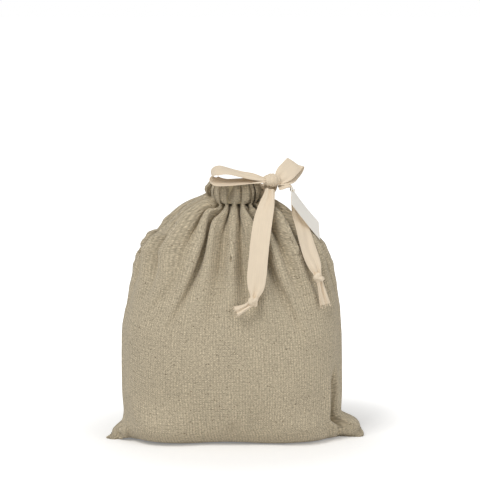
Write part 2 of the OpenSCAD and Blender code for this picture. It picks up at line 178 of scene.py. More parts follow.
def woven_linen(settings):
    """Cotton and linen plain weave, unbleached: dry and matt, with thick and thin yarns both ways and dark husks.

    Its yarns are really about 0.8 mm apart. They are drawn nearly 3 mm apart, so that they show.
    """
    material, tree = new_material("unbleached_cotton_linen_weave")
    flat = add(tree, "ShaderNodeUVMap", uv_map="flat").outputs[0]
    wander = add(tree, "ShaderNodeTexNoise", {"Vector": flat, "Scale": 130.0, "Detail": 2.0}).outputs["Color"]
    moved = add(tree, "ShaderNodeVectorMath", {0: wander, 1: (0.5, 0.5, 0.5)}, operation="SUBTRACT").outputs[0]
    moved = add(tree, "ShaderNodeVectorMath", {0: moved, 1: (2.6 * MM,) * 3, 2: flat}, operation="MULTIPLY_ADD")
    parts = add(tree, "ShaderNodeSeparateXYZ", {0: moved.outputs[0]})
    over = calc(tree, "SINE", calc(tree, "MULTIPLY", parts.outputs[0], 2 * math.pi / settings.weave_pitch))
    under = calc(tree, "SINE", calc(tree, "MULTIPLY", parts.outputs[1], 2 * math.pi / (0.9 * settings.weave_pitch)))
    crossing = calc(tree, "MULTIPLY", over, under)
    ends = stretched_noise(tree, flat, 1.5 * MM, 34 * MM)
    picks = stretched_noise(tree, flat, 34 * MM, 1.5 * MM)
    slub_ends = stretched_noise(tree, flat, 3.6 * MM, 24 * MM, 1.0)
    grain = add(tree, "ShaderNodeTexNoise", {"Vector": flat, "Scale": 480.0, "Detail": 2.0}).outputs["Fac"]
    patches = add(tree, "ShaderNodeTexNoise", {"Vector": flat, "Scale": 34.0, "Detail": 3.0}).outputs["Fac"]
    ribs = calc(tree, "MULTIPLY", over, tinted(tree, patches, 0.05, 0.16))
    threads = calc(tree, "MULTIPLY", under, tinted(tree, patches, 0.10, 0.03))
    weave = calc(tree, "ADD", calc(tree, "ADD", ribs, threads), calc(tree, "MULTIPLY_ADD", crossing, 0.09, 1.0))
    shade = calc(tree, "MULTIPLY", tinted(tree, ends, 0.90, 1.08), tinted(tree, picks, 0.93, 1.06))
    shade = calc(tree, "MULTIPLY", shade, tinted(tree, patches, 0.96, 1.03))
    shade = calc(tree, "MULTIPLY", shade, tinted(tree, grain, 0.66, 1.32))
    shade = calc(tree, "MULTIPLY", shade, weave)
    colour = scaled_colour(tree, settings.cloth[:3], shade)
    husks = add(tree, "ShaderNodeTexNoise", {"Vector": flat, "Scale": 620.0, "Detail": 0.0}).outputs["Fac"]
    rare = add(tree, "ShaderNodeTexNoise", {"Vector": flat, "Scale": 150.0, "Detail": 0.0}).outputs["Fac"]
    husk = calc(tree, "MULTIPLY", calc(tree, "GREATER_THAN", husks, 0.68), calc(tree, "GREATER_THAN", rare, 0.69))
    colour = add(tree, "ShaderNodeMix", {"Factor": calc(tree, "MULTIPLY", husk, 0.8), 6: colour,
                                         7: settings.fleck}, data_type="RGBA").outputs[2]
    height = calc(tree, "MULTIPLY_ADD", ends, 1.5, calc(tree, "MULTIPLY_ADD", picks, 1.3, crossing))
    height = calc(tree, "ADD", height, calc(tree, "MULTIPLY_ADD", under, 0.4, calc(tree, "MULTIPLY", over, 0.8)))
    height = calc(tree, "MULTIPLY_ADD", slub_ends, 1.2, height)
    bump = add(tree, "ShaderNodeBump", {"Height": height, "Strength": 0.75, "Distance": 0.22 * MM})
    shader = add(tree, "ShaderNodeBsdfPrincipled", {"Base Color": colour, "Normal": bump.outputs[0],
                                                    "Roughness": 0.92, "IOR": 1.45, "Sheen Weight": 0.12})
    output(tree, shader.outputs[0])
    return material


def twill_tape(settings):
    """Cream cotton herringbone tape: soft, matt and paler than the sack, with a firm edge on each side.

    Its ribs are really about 0.7 mm apart. They are drawn 1.5 mm apart, so that they show.
    """
    material, tree = new_material("cream_cotton_herringbone_tape")
    flat = add(tree, "ShaderNodeUVMap", uv_map="flat").outputs[0]
    parts = add(tree, "ShaderNodeSeparateXYZ", {0: flat})
    chevron = calc(tree, "PINGPONG", parts.outputs[0], 3.3 * MM)
    slope = calc(tree, "MULTIPLY", calc(tree, "ADD", parts.outputs[1], chevron), 2 * math.pi / (1.5 * MM))
    rib = calc(tree, "SINE", slope)
    yarns = stretched_noise(tree, flat, 0.9 * MM, 30 * MM)
    soft = add(tree, "ShaderNodeTexNoise", {"Vector": flat, "Scale": 60.0, "Detail": 3.0}).outputs["Fac"]
    shade = calc(tree, "MULTIPLY", tinted(tree, yarns, 0.95, 1.03), tinted(tree, soft, 0.97, 1.02))
    shade = calc(tree, "MULTIPLY", shade, calc(tree, "MULTIPLY_ADD", rib, 0.022, 1.0))
    colour = scaled_colour(tree, settings.tape[:3], shade)
    height = calc(tree, "MULTIPLY_ADD", yarns, 0.8, rib)
    bump = add(tree, "ShaderNodeBump", {"Height": height, "Strength": 0.6, "Distance": 0.12 * MM})
    shader = add(tree, "ShaderNodeBsdfPrincipled", {"Base Color": colour, "Normal": bump.outputs[0],
                                                    "Roughness": 0.85, "IOR": 1.45, "Sheen Weight": 0.15})
    output(tree, shader.outputs[0])
    return material


def spun_thread(settings):
    """Undyed spun cotton thread: matt, with a fine twist."""
    material, tree = new_material("undyed_spun_cotton_thread")
    place = add(tree, "ShaderNodeTexCoord").outputs["Object"]
    fuzz = add(tree, "ShaderNodeTexNoise", {"Vector": place, "Scale": 2200.0, "Detail": 1.0}).outputs["Fac"]
    colour = scaled_colour(tree, settings.thread[:3], tinted(tree, fuzz, 0.85, 1.1))
    bump = add(tree, "ShaderNodeBump", {"Height": fuzz, "Strength": 0.5, "Distance": 0.1 * MM})
    shader = add(tree, "ShaderNodeBsdfPrincipled", {"Base Color": colour, "Normal": bump.outputs[0],
                                                    "Roughness": 0.8, "IOR": 1.45})
    output(tree, shader.outputs[0])
    return material


def white_card(settings):
    """Uncoated white card, left blank: smooth and matt, with a faint fibre."""
    material, tree = new_material("uncoated_white_card")
    place = add(tree, "ShaderNodeTexCoord").outputs["Object"]
    fibre = add(tree, "ShaderNodeTexNoise", {"Vector": place, "Scale": 900.0, "Detail": 4.0}).outputs["Fac"]
    cloud = add(tree, "ShaderNodeTexNoise", {"Vector": place, "Scale": 45.0, "Detail": 2.0}).outputs["Fac"]
    shade = calc(tree, "MULTIPLY", tinted(tree, fibre, 0.985, 1.01), tinted(tree, cloud, 0.985, 1.01))
    bump = add(tree, "ShaderNodeBump", {"Height": fibre, "Strength": 0.25, "Distance": 0.04 * MM})
    shader = add(tree, "ShaderNodeBsdfPrincipled", {"Base Color": scaled_colour(tree, settings.card[:3], shade),
                                                    "Normal": bump.outputs[0], "Roughness": 0.6, "IOR": 1.5})
    output(tree, shader.outputs[0])
    return material


def material_named(name):
    """The material of that name, made the first time it is asked for."""
    scene = bpy.context.scene
    makers = {
        "cloth": ("unbleached_cotton_linen_weave", woven_linen, scene.gift_sack),
        "tape": ("cream_cotton_herringbone_tape", twill_tape, scene.gift_sack_tape),
        "thread": ("undyed_spun_cotton_thread", spun_thread, scene.gift_sack),
        "label": ("uncoated_white_card", white_card, scene.gift_sack_label),
    }
    full_name, maker, settings = makers[name]
    return bpy.data.materials.get(full_name) or maker(settings)


# ---------------------------------------------------------------- mesh helpers


def swept(rings, uv, closed=False):
    """Points, faces and UVs of a solid through rings of points.

    rings is [ring, point, xyz]. Each ring runs up one side of a thin section and back down the other, so that
    point k faces point -1 - k, and the two ends are closed between such pairs.
    """
    n, m = rings.shape[:2]
    i = np.arange(n if closed else n - 1)[:, None]
    k = np.arange(m)[None, :]
    i2, k2 = (i + 1) % n, (k + 1) % m
    walls = np.stack([i * m + k, i2 * m + k, i2 * m + k2, i * m + k2], -1).reshape(-1, 4)
    faces = [walls]
    if not closed:
        k = np.arange(m // 2 - 1)
        start = np.stack([k, k + 1, m - 2 - k, m - 1 - k], -1)
        faces += [start, start[:, ::-1] + (n - 1) * m]
    return rings.reshape(-1, 3), np.concatenate(faces), uv.reshape(-1, 2)


def joined(parts):
    """Several (points, faces, uv) as one."""
    points, faces, uv, count = [], [], [], 0
    for p, f, t in parts:
        points.append(p)
        faces.append(f + count)
        uv.append(t)
        count += len(p)
    return np.concatenate(points), np.concatenate(faces), np.concatenate(uv)


def make_piece(name, part, material, sharp_angle=60):
    """A mesh object from (points, faces, uv)."""
    points, faces, uv = part
    mesh = bpy.data.meshes.new(name)
    mesh.from_pydata(points.tolist(), [], faces.tolist())
    layer = mesh.uv_layers.new(name="flat")
    layer.data.foreach_set("uv", uv[faces.ravel()].astype(np.float32).ravel())
    mesh.polygons.foreach_set("use_smooth", np.ones(len(mesh.polygons), bool))
    mesh.update()
    mesh.set_sharp_from_angle(angle=math.radians(sharp_angle))
    mesh.materials.append(material_named(material))
    piece = bpy.data.objects.new(name, mesh)
    bpy.context.scene.collection.objects.link(piece)
    return piece


def place(piece, body, slot, *nodes):
    """The piece rides on a body and stands for these nodes, whose CAD parts are hidden. The slot is not used."""
    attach(piece, body)
    if nodes:
        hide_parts(*nodes)
    return piece


def unit(v):
    v = np.asarray(v, float)
    return v / np.maximum(np.linalg.norm(v, axis=-1, keepdims=True), 1e-12)


def smoothstep(x, low, high):
    t = np.clip((x - low) / (high - low), 0, 1)
    return t * t * (3 - 2 * t)


def refined(grid, times, ring):
    """The grid with times as many rows and columns, on smooth curves. ring says that the columns close up."""

    def along_first(g, wrap):
        n = len(g)
        count = n * times if wrap else (n - 1) * times + 1
        t = np.arange(count) / times
        b = np.floor(t).astype(int)
        b = b % n if wrap else np.minimum(b, n - 2)
        u = (t - np.floor(t) if wrap else t - b)[:, None, None]
        pick = (lambda o: g[(b + o) % n]) if wrap else (lambda o: g[np.clip(b + o, 0, n - 1)])
        p0, p1, p2, p3 = pick(-1), pick(0), pick(1), pick(2)
        return 0.5 * (2 * p1 + (p2 - p0) * u + (2 * p0 - 5 * p1 + 4 * p2 - p3) * u**2
                      + (3 * p1 - p0 - 3 * p2 + p3) * u**3)

    rows = along_first(grid, False)
    return along_first(rows.transpose(1, 0, 2), ring).transpose(1, 0, 2)


# ---------------------------------------------------------------- the cloth


def cad_profile():
    """Heights, and the CAD sack's reach to the left, the right and the front at each."""
    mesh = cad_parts["front_panel"].data
    points = np.array([v.co for v in mesh.vertices])
    heights = np.unique(points[:, 2].round(4))
    heights = heights[(heights == 0) | (heights > 2 * MM)]
    rows = [points[np.abs(points[:, 2] - z) < 0.3 * MM] for z in heights]
    keep = [i for i, r in enumerate(rows) if len(r) > 8]
    reach = np.array([[-rows[i][:, 0].min(), rows[i][:, 0].max(), -rows[i][:, 1].min()] for i in keep])
    return heights[keep], reach


class Cloth:
    """The sack's cloth as rings of points from the bottom seam up, with the flat place of each point.

    Ring positions run along the front from the left seam to the right one, then back along the back.
    """

    COLUMNS = 96  # across one panel
    ROWS = 100  # from the bottom seam to the casing
    PINNED = 3  # rows held above the seam line of the casing

    def __init__(self, settings):
        self.half = settings.flat_width / 2
        self.casing = MOUTH_Z - NECK_Z
        self.body = settings.flat_height - self.casing
        self.thickness = settings.cloth_thickness
        self.hole = np.array([settings.hole_width, settings.hole_depth])
        n = self.COLUMNS
        across = np.linspace(-self.half, self.half, n + 1)
        self.u = np.concatenate([across, across[-2:0:-1]])
        self.front = np.arange(2 * n) <= n
        self.column = np.where(self.front, np.arange(2 * n), 2 * n - np.arange(2 * n))
        self.v = np.concatenate([
            np.linspace(0, self.body, self.ROWS + 1), self.body + np.arange(1, self.PINNED + 1) * 3 * MM])
        self.wave = self.gather_wave(settings)

    def gather_wave(self, settings):
        """How far out each ring position is, from -1 in a fold to 1 on a gather, uneven round the mouth."""
        random = np.random.RandomState(settings.seed)
        around = np.where(self.front, self.u + self.half, 3 * self.half - self.u) / (4 * self.half)
        count = 2 * settings.gathers
        phase = around * count
        for m in (2, 3, 5, 7):
            phase = phase + 0.16 * random.uniform(-1, 1) * np.sin(2 * np.pi * m * around) * np.sin(
                2 * np.pi * around) ** 2
        depth = np.interp(around * count, np.arange(count + 1), random.uniform(-1, 1, count + 1), period=count)
        self.crest = np.abs(np.cos(np.pi * phase))
        round_lobe = 1 - 2 * (0.5 - 0.5 * np.cos(2 * np.pi * phase)) ** 1.35
        return round_lobe * (1 + 0.36 * depth)

    def start(self):
        """The cloth before it settles: the CAD sack's own shape, with waves where it gathers to the mouth."""
        heights, reach = cad_profile()
        levels = np.concatenate([np.linspace(0, 30, 31) * MM, np.linspace(31 * MM, NECK_Z, 150)])
        n = self.COLUMNS
        sections = np.array([self.section(z, [np.interp(z, heights, reach[:, k]) for k in range(3)])
                             for z in levels])
        depth = np.interp(levels, heights, reach[:, 2])
        climb = np.concatenate([[0], np.cumsum(np.hypot(np.diff(levels), np.diff(depth)))])
        seams = {}
        for side in (0, n):
            z = levels[levels >= CORNER_TIP]
            x = sections[levels >= CORNER_TIP, side, 0]
            path = np.concatenate([[0], np.cumsum(np.hypot(np.diff(x), np.diff(z)))])
            seams[side] = (path / path[-1] * self.body, z)
        at_seam = (np.abs(self.u) / self.half) ** 5
        left = self.u < 0
        points = np.zeros((len(self.v), 2 * n, 3))
        for j, v in enumerate(self.v):
            body_v = min(v, self.body)
            share = max(0, body_v - BASE_REACH) / (self.body - BASE_REACH)
            middle_z = np.interp(share * climb[-1], climb, levels)
            seam_z = np.where(left, np.interp(body_v, *seams[0]), np.interp(body_v, *seams[n]))
            z = middle_z * (1 - at_seam) + seam_z * at_seam
            k = np.interp(z, levels, np.arange(len(levels)))
            low = np.clip(np.floor(k).astype(int), 0, len(levels) - 2)
            t = (k - low)[:, None]
            xy = sections[low, self.column] * (1 - t) + sections[low + 1, self.column] * t
            xy[:, 1] *= min(1, v / BASE_REACH)
            xy[~self.front, 1] *= -1
            if j > 0:
                along = np.roll(xy, -1, 0) - np.roll(xy, 1, 0)
                out = unit(np.stack([along[:, 1], -along[:, 0]], 1))
                size = np.interp(z / MM, [110, 140, 160, 180, 200, 220, 243, 250, 254],
                                 [0.2, 0.8, 1.7, 3.0, 4.2, 5.4, 6.8, 7.6, 8.6]) * MM * (z > 0.1)
                inwards = np.interp(z / MM, [230, 254], [0, 1])
                xy = xy + out * (size * (self.wave - inwards))[:, None]
            points[j] = np.concatenate([xy, (z + max(0, v - self.body))[:, None]], 1)
        return points

    def section(self, z, reach):
        """The front half of the CAD sack's outline at a height, as evenly spaced points from left to right."""
        corner = 1 - smoothstep(z, CORNER_TIP, CORNER_TOP)
        share = np.sin(np.linspace(-np.pi / 2, np.pi / 2, 801))
        x = share * np.where(share < 0, reach[0], reach[1])
        y = -reach[2] * (1 - np.abs(share) ** 2.4) ** (0.45 + 0.9 * corner)
        path = np.concatenate([[0], np.cumsum(np.hypot(np.diff(x), np.diff(y)))])
        even = np.linspace(0, path[-1], self.COLUMNS + 1)
        return np.stack([np.interp(even, path, x), np.interp(even, path, y)], 1)

    def index(self):
        """The vertex number of each [row, ring position]. The front and back share the bottom seam."""
        n = self.COLUMNS
        ring = np.arange(2 * n)
        number = n + 1 + (np.arange(len(self.v))[:, None] - 1) * 2 * n + ring[None, :]
        number[0] = self.column
        return number

    def settled(self, settings):
        """The cloth after it has filled out and settled, with its flat shape as its shape at rest."""
        start = self.start()
        number = self.index()
        scale = 10  # the solver works best at about this size
        count = number.max() + 1
        points, flat = np.zeros((count, 3)), np.zeros((count, 3))
        side = np.where(self.front, -0.5, 0.5) * MM
        side[[0, self.COLUMNS]] = 0
        for j in range(len(self.v)):
            points[number[j]] = start[j]
            flat[number[j]] = np.stack([self.u, side * (j > 0), np.full_like(self.u, self.v[j])], 1)
        a = number[:-1].ravel()
        b = np.roll(number[:-1], -1, 1).ravel()
        c = np.roll(number[1:], -1, 1).ravel()
        d = number[1:].ravel()
        mesh = bpy.data.meshes.new("settling_cloth")
        mesh.from_pydata((points * scale).tolist(), [], np.stack([a, b, c, d], 1).tolist())
        cloth = bpy.data.objects.new("settling_cloth", mesh)
        bpy.context.scene.collection.objects.link(cloth)
        cloth.shape_key_add(name="start")
        flat_key = cloth.shape_key_add(name="flat", from_mix=False)
        flat_key.data.foreach_set("co", (flat * scale).ravel())
        held = cloth.vertex_groups.new(name="held")
        held.add(number[self.ROWS :].ravel().tolist(), 1.0, "REPLACE")
        floor = self.floor_for_cloth()
        modifier = cloth.modifiers.new("cloth", "CLOTH")
        solver = modifier.settings
        solver.quality = 6
        solver.tension_stiffness = solver.compression_stiffness = 25
        solver.shear_stiffness = 6
        solver.bending_stiffness = 1.0
        solver.tension_damping = solver.compression_damping = solver.shear_damping = 8
        solver.air_damping = 2
        solver.vertex_group_mass = "held"
        solver.rest_shape_key = flat_key
        solver.use_pressure = True
        solver.uniform_pressure_force = settings.fill
        modifier.collision_settings.use_self_collision = False
        for step in range(1, settings.settle_frames + 1):
            bpy.context.scene.frame_set(step)
        evaluated = cloth.evaluated_get(bpy.context.evaluated_depsgraph_get()).to_mesh()
        out = np.zeros(count * 3)
        evaluated.vertices.foreach_get("co", out)
        out = out.reshape(-1, 3) / scale
        bpy.data.objects.remove(cloth)
        bpy.data.objects.remove(floor)
        bpy.context.scene.frame_set(1)
        return out[number]

    def floor_for_cloth(self):
        mesh = bpy.data.meshes.new("settling_floor")
        reach, z = 6.0, -0.012
        mesh.from_pydata([(-reach, -reach, z), (reach, -reach, z), (reach, reach, z), (-reach, reach, z)],
                         [], [(0, 1, 2, 3)])
        floor = bpy.data.objects.new("settling_floor", mesh)
        bpy.context.scene.collection.objects.link(floor)
        floor.modifiers.new("collision", "COLLISION")
        floor.collision.thickness_outer = 0.01
        floor.collision.cloth_friction = 2
        return floor

    def fitted(self, points):
        """The settled cloth brought to the CAD sack's reach at every height."""
        points = points.copy()
        points[..., 2] = np.maximum(points[..., 2] - points[..., 2].min(), 0)
        points[..., 2] *= NECK_Z / points[self.ROWS, :, 2].mean()
        heights, reach = cad_profile()
        levels = np.linspace(0, NECK_Z, 40)
        factors = []
        for z in levels:
            near = points[np.abs(points[..., 2] - z) < 5 * MM]
            mine = np.array([-near[:, 0].min(), near[:, 0].max(), max(-near[:, 1].min(), near[:, 1].max())])
            target = np.array([np.interp(z, heights, reach[:, k]) for k in range(3)])
            factors.append(target / mine)
        factors = np.array(factors)
        low = levels < 34 * MM
        factors[low, :2] = factors[~low][0, :2]
        ease = np.array([1, 2, 3, 2, 1]) / 9
        padded = np.pad(factors, ((2, 2), (0, 0)), mode="edge")
        factors = np.stack([np.convolve(padded[:, k], ease, "valid") for k in range(3)], 1)
        z = points[..., 2]
        left, right, deep = (np.interp(z, levels, factors[:, k]) for k in range(3))
        hold = smoothstep(z, NECK_Z - 14 * MM, NECK_Z)
        x, y = points[..., 0], points[..., 1]
        wide = np.where(x < 0, left, right)
        points[..., 0] = x * (wide * (1 - hold) + hold)
        points[..., 1] = y * (deep * (1 - hold) + hold)
        for sign, k in ((-1, 0), (1, 1)):
            tip = (points[..., 0] * sign).max()
            grow = ((reach[:, k].max() + 6 * MM) / tip - 1) * (1 - smoothstep(z, 8 * MM, 34 * MM))
            side = points[..., 0] * sign > 0
            points[..., 0] = np.where(side, points[..., 0] * (1 + grow), points[..., 0])
        self.even_out_bottom(points)
        self.square_base(points)
        self.fold_right_side(points)
        self.shape_ears(points, reach)
        self.deepen_gathers(points)
        self.dent(points)
        self.shape_shoulders(points)
        return points

    def even_out_bottom(self, points):
        """Takes the small puckers out of the lowest part of each panel."""
        inner = smoothstep(self.half - np.abs(self.u), 8 * MM, 36 * MM)
        weight = (1 - smoothstep(points[..., 2].mean(1), 10 * MM, 34 * MM))[:, None] * inner[None, :]
        smooth = points.copy()
        for _ in range(90):
            blurred = (np.roll(smooth, 1, 1) + 2 * smooth + np.roll(smooth, -1, 1)) / 4
            smooth = np.where(inner[None, :, None] > 0, blurred, smooth)
        points += (smooth - points) * weight[..., None]

    def square_base(self, points):
        """Brings the body's lower corners forwards and back, so that it stands on a squarer base."""
        row = np.abs(points[:, self.COLUMNS // 2, 2] - 8 * MM).argmin()
        outline = points[row, : self.COLUMNS + 1]
        x, z = points[..., 0], points[..., 2]
        now = np.interp(x, outline[:, 0], -outline[:, 1])
        for sign, reach, depth, power in ((-1, 123 * MM, 1.04, 7), (1, 105 * MM, 0.99, 6)):
            share = np.clip(x * sign / reach, 0, 1)
            wanted = depth * -outline[:, 1].min() * (1 - share**power) ** 0.45
            ratio = np.clip(wanted / np.maximum(now, 4 * MM), 1, 1.9) - 1
            near = smoothstep(share, 0.15, 0.5) * (1 - smoothstep(x * sign / reach, 0.93, 1.12))
            points[..., 1] *= 1 + ratio * near * (1 - smoothstep(z, 8 * MM, 55 * MM))

    def fold_right_side(self, points):
        """Tucks the cloth in beside the right seam, above the ear, so that the front panel overlaps it."""
        z = points[..., 2]
        from_fold = np.where(self.front, self.u, 2 * self.half - self.u)[None, :] - 121 * MM
        high = smoothstep(z, 8 * MM, 24 * MM) * (1 - smoothstep(z, 32 * MM, 92 * MM))
        low = 1 - smoothstep(z, 10 * MM, 30 * MM)
        tuck = (19 * high + 4.0 * low) * MM * np.exp(-((from_fold / (5.4 * MM)) ** 2))
        lip = 3.0 * MM * (high + 0.5 * low) * np.exp(-(((from_fold + 11 * MM) / (6 * MM)) ** 2))
        far = 1.5 * MM * high * np.exp(-(((from_fold - 17 * MM) / (9 * MM)) ** 2))
        points[..., 0] += -0.74 * tuck + 0.8 * lip + far
        points[..., 1] += 0.67 * tuck - 0.6 * lip

    def shape_ears(self, points, reach):
        """Makes the corners blunt. The right one stands up, and the left one lies forwards on the floor."""
        x, y, z = (points[..., k] for k in range(3))
        push = np.interp(z / MM, [0, 5, 12, 17, 21, 24, 28], [0, 1, 6, 10, 10, 3, 0]) * MM
        x += push * smoothstep(x, 98 * MM, 113 * MM)
        for sign, k in ((-1, 0), (1, 1)):
            start = 126 * MM
            room = (reach[:, k].max() - start) * 1.1
            beyond = np.maximum(x * sign - start, 0)
            x[...] = np.where(x * sign > start, sign * (start + room * np.tanh(beyond / room)), x)
        right, left = smoothstep(x, 116 * MM, 132 * MM), smoothstep(-x, 112 * MM, 136 * MM)
        low = 1 - smoothstep(z, 16 * MM, 34 * MM)
        y -= 10 * MM * left * low
        z *= 1 + (0.1 * right + 0.35 * left) * low
        z -= 4.0 * MM * left * low
        np.maximum(z, 0, out=z)

    def shape_shoulders(self, points):
        """Swells the shoulders, and lifts the gathers where they run from the mouth to the two side seams."""
        x, z = points[..., 0], points[..., 2]
        right = np.interp(z / MM, [165, 180, 190, 200, 212, 222, 240], [0, 2.2, 4.2, 5.4, 6.4, 4.5, 0])
        left = np.interp(z / MM, [125, 145, 165, 180, 190, 198, 207, 216, 230], [0, -2.6, -2.8, -1, 1, 3, 5, 3, 0])
        outer = smoothstep(np.abs(x), 30 * MM, 75 * MM)
        lift = smoothstep(z, 222 * MM, 250 * MM) * (1 - smoothstep(np.abs(x), 48 * MM, 92 * MM))
        lift = lift * np.where(x < 0, 10.5 * smoothstep(-x, 17 * MM, 32 * MM), 10.5 * smoothstep(x, 29 * MM, 42 * MM))
        x += np.where(x > 0, right * (1 - smoothstep(-points[..., 1], 6 * MM, 30 * MM)), -left) * MM * outer
        z += lift * MM

    def deepen_gathers(self, points):
        """Sharpens the folds below the mouth."""
        smooth = points.copy()
        for _ in range(26):
            smooth = (np.roll(smooth, 1, 1) + 2 * smooth + np.roll(smooth, -1, 1)) / 4
        z = points[..., 2]
        amount = 0.6 * smoothstep(z, 150 * MM, 212 * MM) * (1 - smoothstep(z, 244 * MM, NECK_Z))
        points[..., :2] += ((points - smooth) * amount[..., None])[..., :2]

    def dent(self, points):
        """Adds broad, soft dents where the contents leave the cloth slack."""
        outwards = grid_normals(points)
        s, v = self.u[None, :] / MM + np.where(self.front, 0, 217)[None, :], self.v[:, None] / MM
        waves = np.sin(s / 19 + 1.3 * np.sin(v / 47)) * np.sin(v / 41 + 0.9) + 0.6 * np.sin(s / 31 - v / 38 + 2.0)
        side = smoothstep(self.half - np.abs(self.u), 0, 40 * MM)[None, :]
        z = points[..., 2]
        here = smoothstep(z, 20 * MM, 60 * MM) * (1 - smoothstep(z, 190 * MM, 230 * MM)) * side
        points += outwards * (1.1 * MM * waves * here)[..., None]



@lru_cache(maxsize=1)
def sack_cloth():
    """The cloth, its points, outward normals and UVs on a fine grid, and the row of the casing's seam line."""
    settings = bpy.context.scene.gift_sack
    cloth = Cloth(settings)
    points = cloth.settled(settings)
    points = cloth.fitted(points)
    times = 2
    fine = refined(points, times, True)
    uv = refined(np.stack(np.broadcast_arrays(cloth.u[None, :], cloth.v[:, None], 0.0), -1), times, True)
    normals = grid_normals(fine)
    from_side = cloth.half - np.abs(uv[..., 0])
    near_corner = smoothstep(np.abs(uv[..., 0]), 96 * MM, 112 * MM)
    from_seam = np.minimum(from_side, np.where(near_corner > 0, uv[..., 1] / np.maximum(near_corner, 0.01), 1))
    swell = np.sqrt(1 - (1 - np.clip(from_seam / (2.6 * MM), 0, 1)) ** 2) * (1 - smoothstep(from_seam, 7 * MM, 14 * MM))
    swell = swell * (1 - smoothstep(fine[..., 2], 150 * MM, 220 * MM))
    fine = fine + normals * (swell * settings.seam_swell)[..., None]
    for stations in (LEFT_TAIL, RIGHT_TAIL):
        press_under(fine, stations)
    fine[..., 2] = np.maximum(fine[..., 2], 0.0)
    return cloth, fine, grid_normals(fine), uv[..., :2], cloth.ROWS * times


def press_under(grid, stations, clearance=1.6 * MM):
    """Presses the cloth in where a tape with these stations would otherwise go through it."""
    centre, across, width = stations_between(stations, 6)
    along = unit(np.gradient(centre, axis=0))
    face = unit(np.cross(along, across))
    face *= np.sign((face * [0.2, -1, 0.1]).sum(1, keepdims=True))
    near = np.where((grid > centre.min(0) - 20 * MM).all(-1) & (grid < centre.max(0) + 20 * MM).all(-1))
    points = grid[near]
    gap = points[:, None] - centre[None]
    closest = np.linalg.norm(gap, axis=2).argmin(1)
    gap = gap[np.arange(len(points)), closest]
    aside = np.abs((gap * across[closest]).sum(1)) - width[closest] / 2
    beyond = np.abs((gap * along[closest]).sum(1))
    height = (gap * face[closest]).sum(1) + clearance
    amount = np.maximum(height, 0) * (1 - smoothstep(aside, 2 * MM, 11 * MM)) * (1 - smoothstep(beyond, 3 * MM, 9 * MM))
    amount = np.where(height < 14 * MM, amount, 0)
    grid[near] = points - face[closest] * amount[:, None]


def grid_normals(grid):
    """Outward normals of the cloth's grid."""
    across = np.roll(grid, -1, 1) - np.roll(grid, 1, 1)
    return unit(np.cross(across, np.gradient(grid, axis=0)))


def panel_columns(cloth, count, back):
    """Ring positions of one panel, seam to seam, in the ring's own direction."""
    half = count // 2
    return np.arange(half, count + 1) % count if back else np.arange(half + 1)


def make_panels():
    """The front and back panels, each a skin of cloth from the bottom seam to the casing."""
    cloth, points, normals, uv, neck = sack_cloth()
    made = []
    for name, back in (("front_panel", False), ("back_panel", True)):
        columns = panel_columns(cloth, points.shape[1], back)
        outer = points[: neck + 1][:, columns]
        inner = outer - normals[: neck + 1][:, columns] * cloth.thickness
        flat = uv[: neck + 1][:, columns]
        rings = np.concatenate([outer, inner[::-1]]).transpose(1, 0, 2)
        flats = np.concatenate([flat, flat[::-1]]).transpose(1, 0, 2)
        piece = make_piece(name + "_cloth", swept(rings, flats), "cloth")
        made.append(place(piece, "sack", "cloth", name))
    return made


def periodic_noise(random, knots, count):
    """Smooth noise from -1 to 1 round a ring of points."""
    values = random.uniform(-1, 1, knots + 1)
    values[-1] = values[0]
    place = np.arange(count) / count * knots
    low = np.floor(place).astype(int)
    ease = smoothstep(place - low, 0, 1)
    return values[low] * (1 - ease) + values[low + 1] * ease


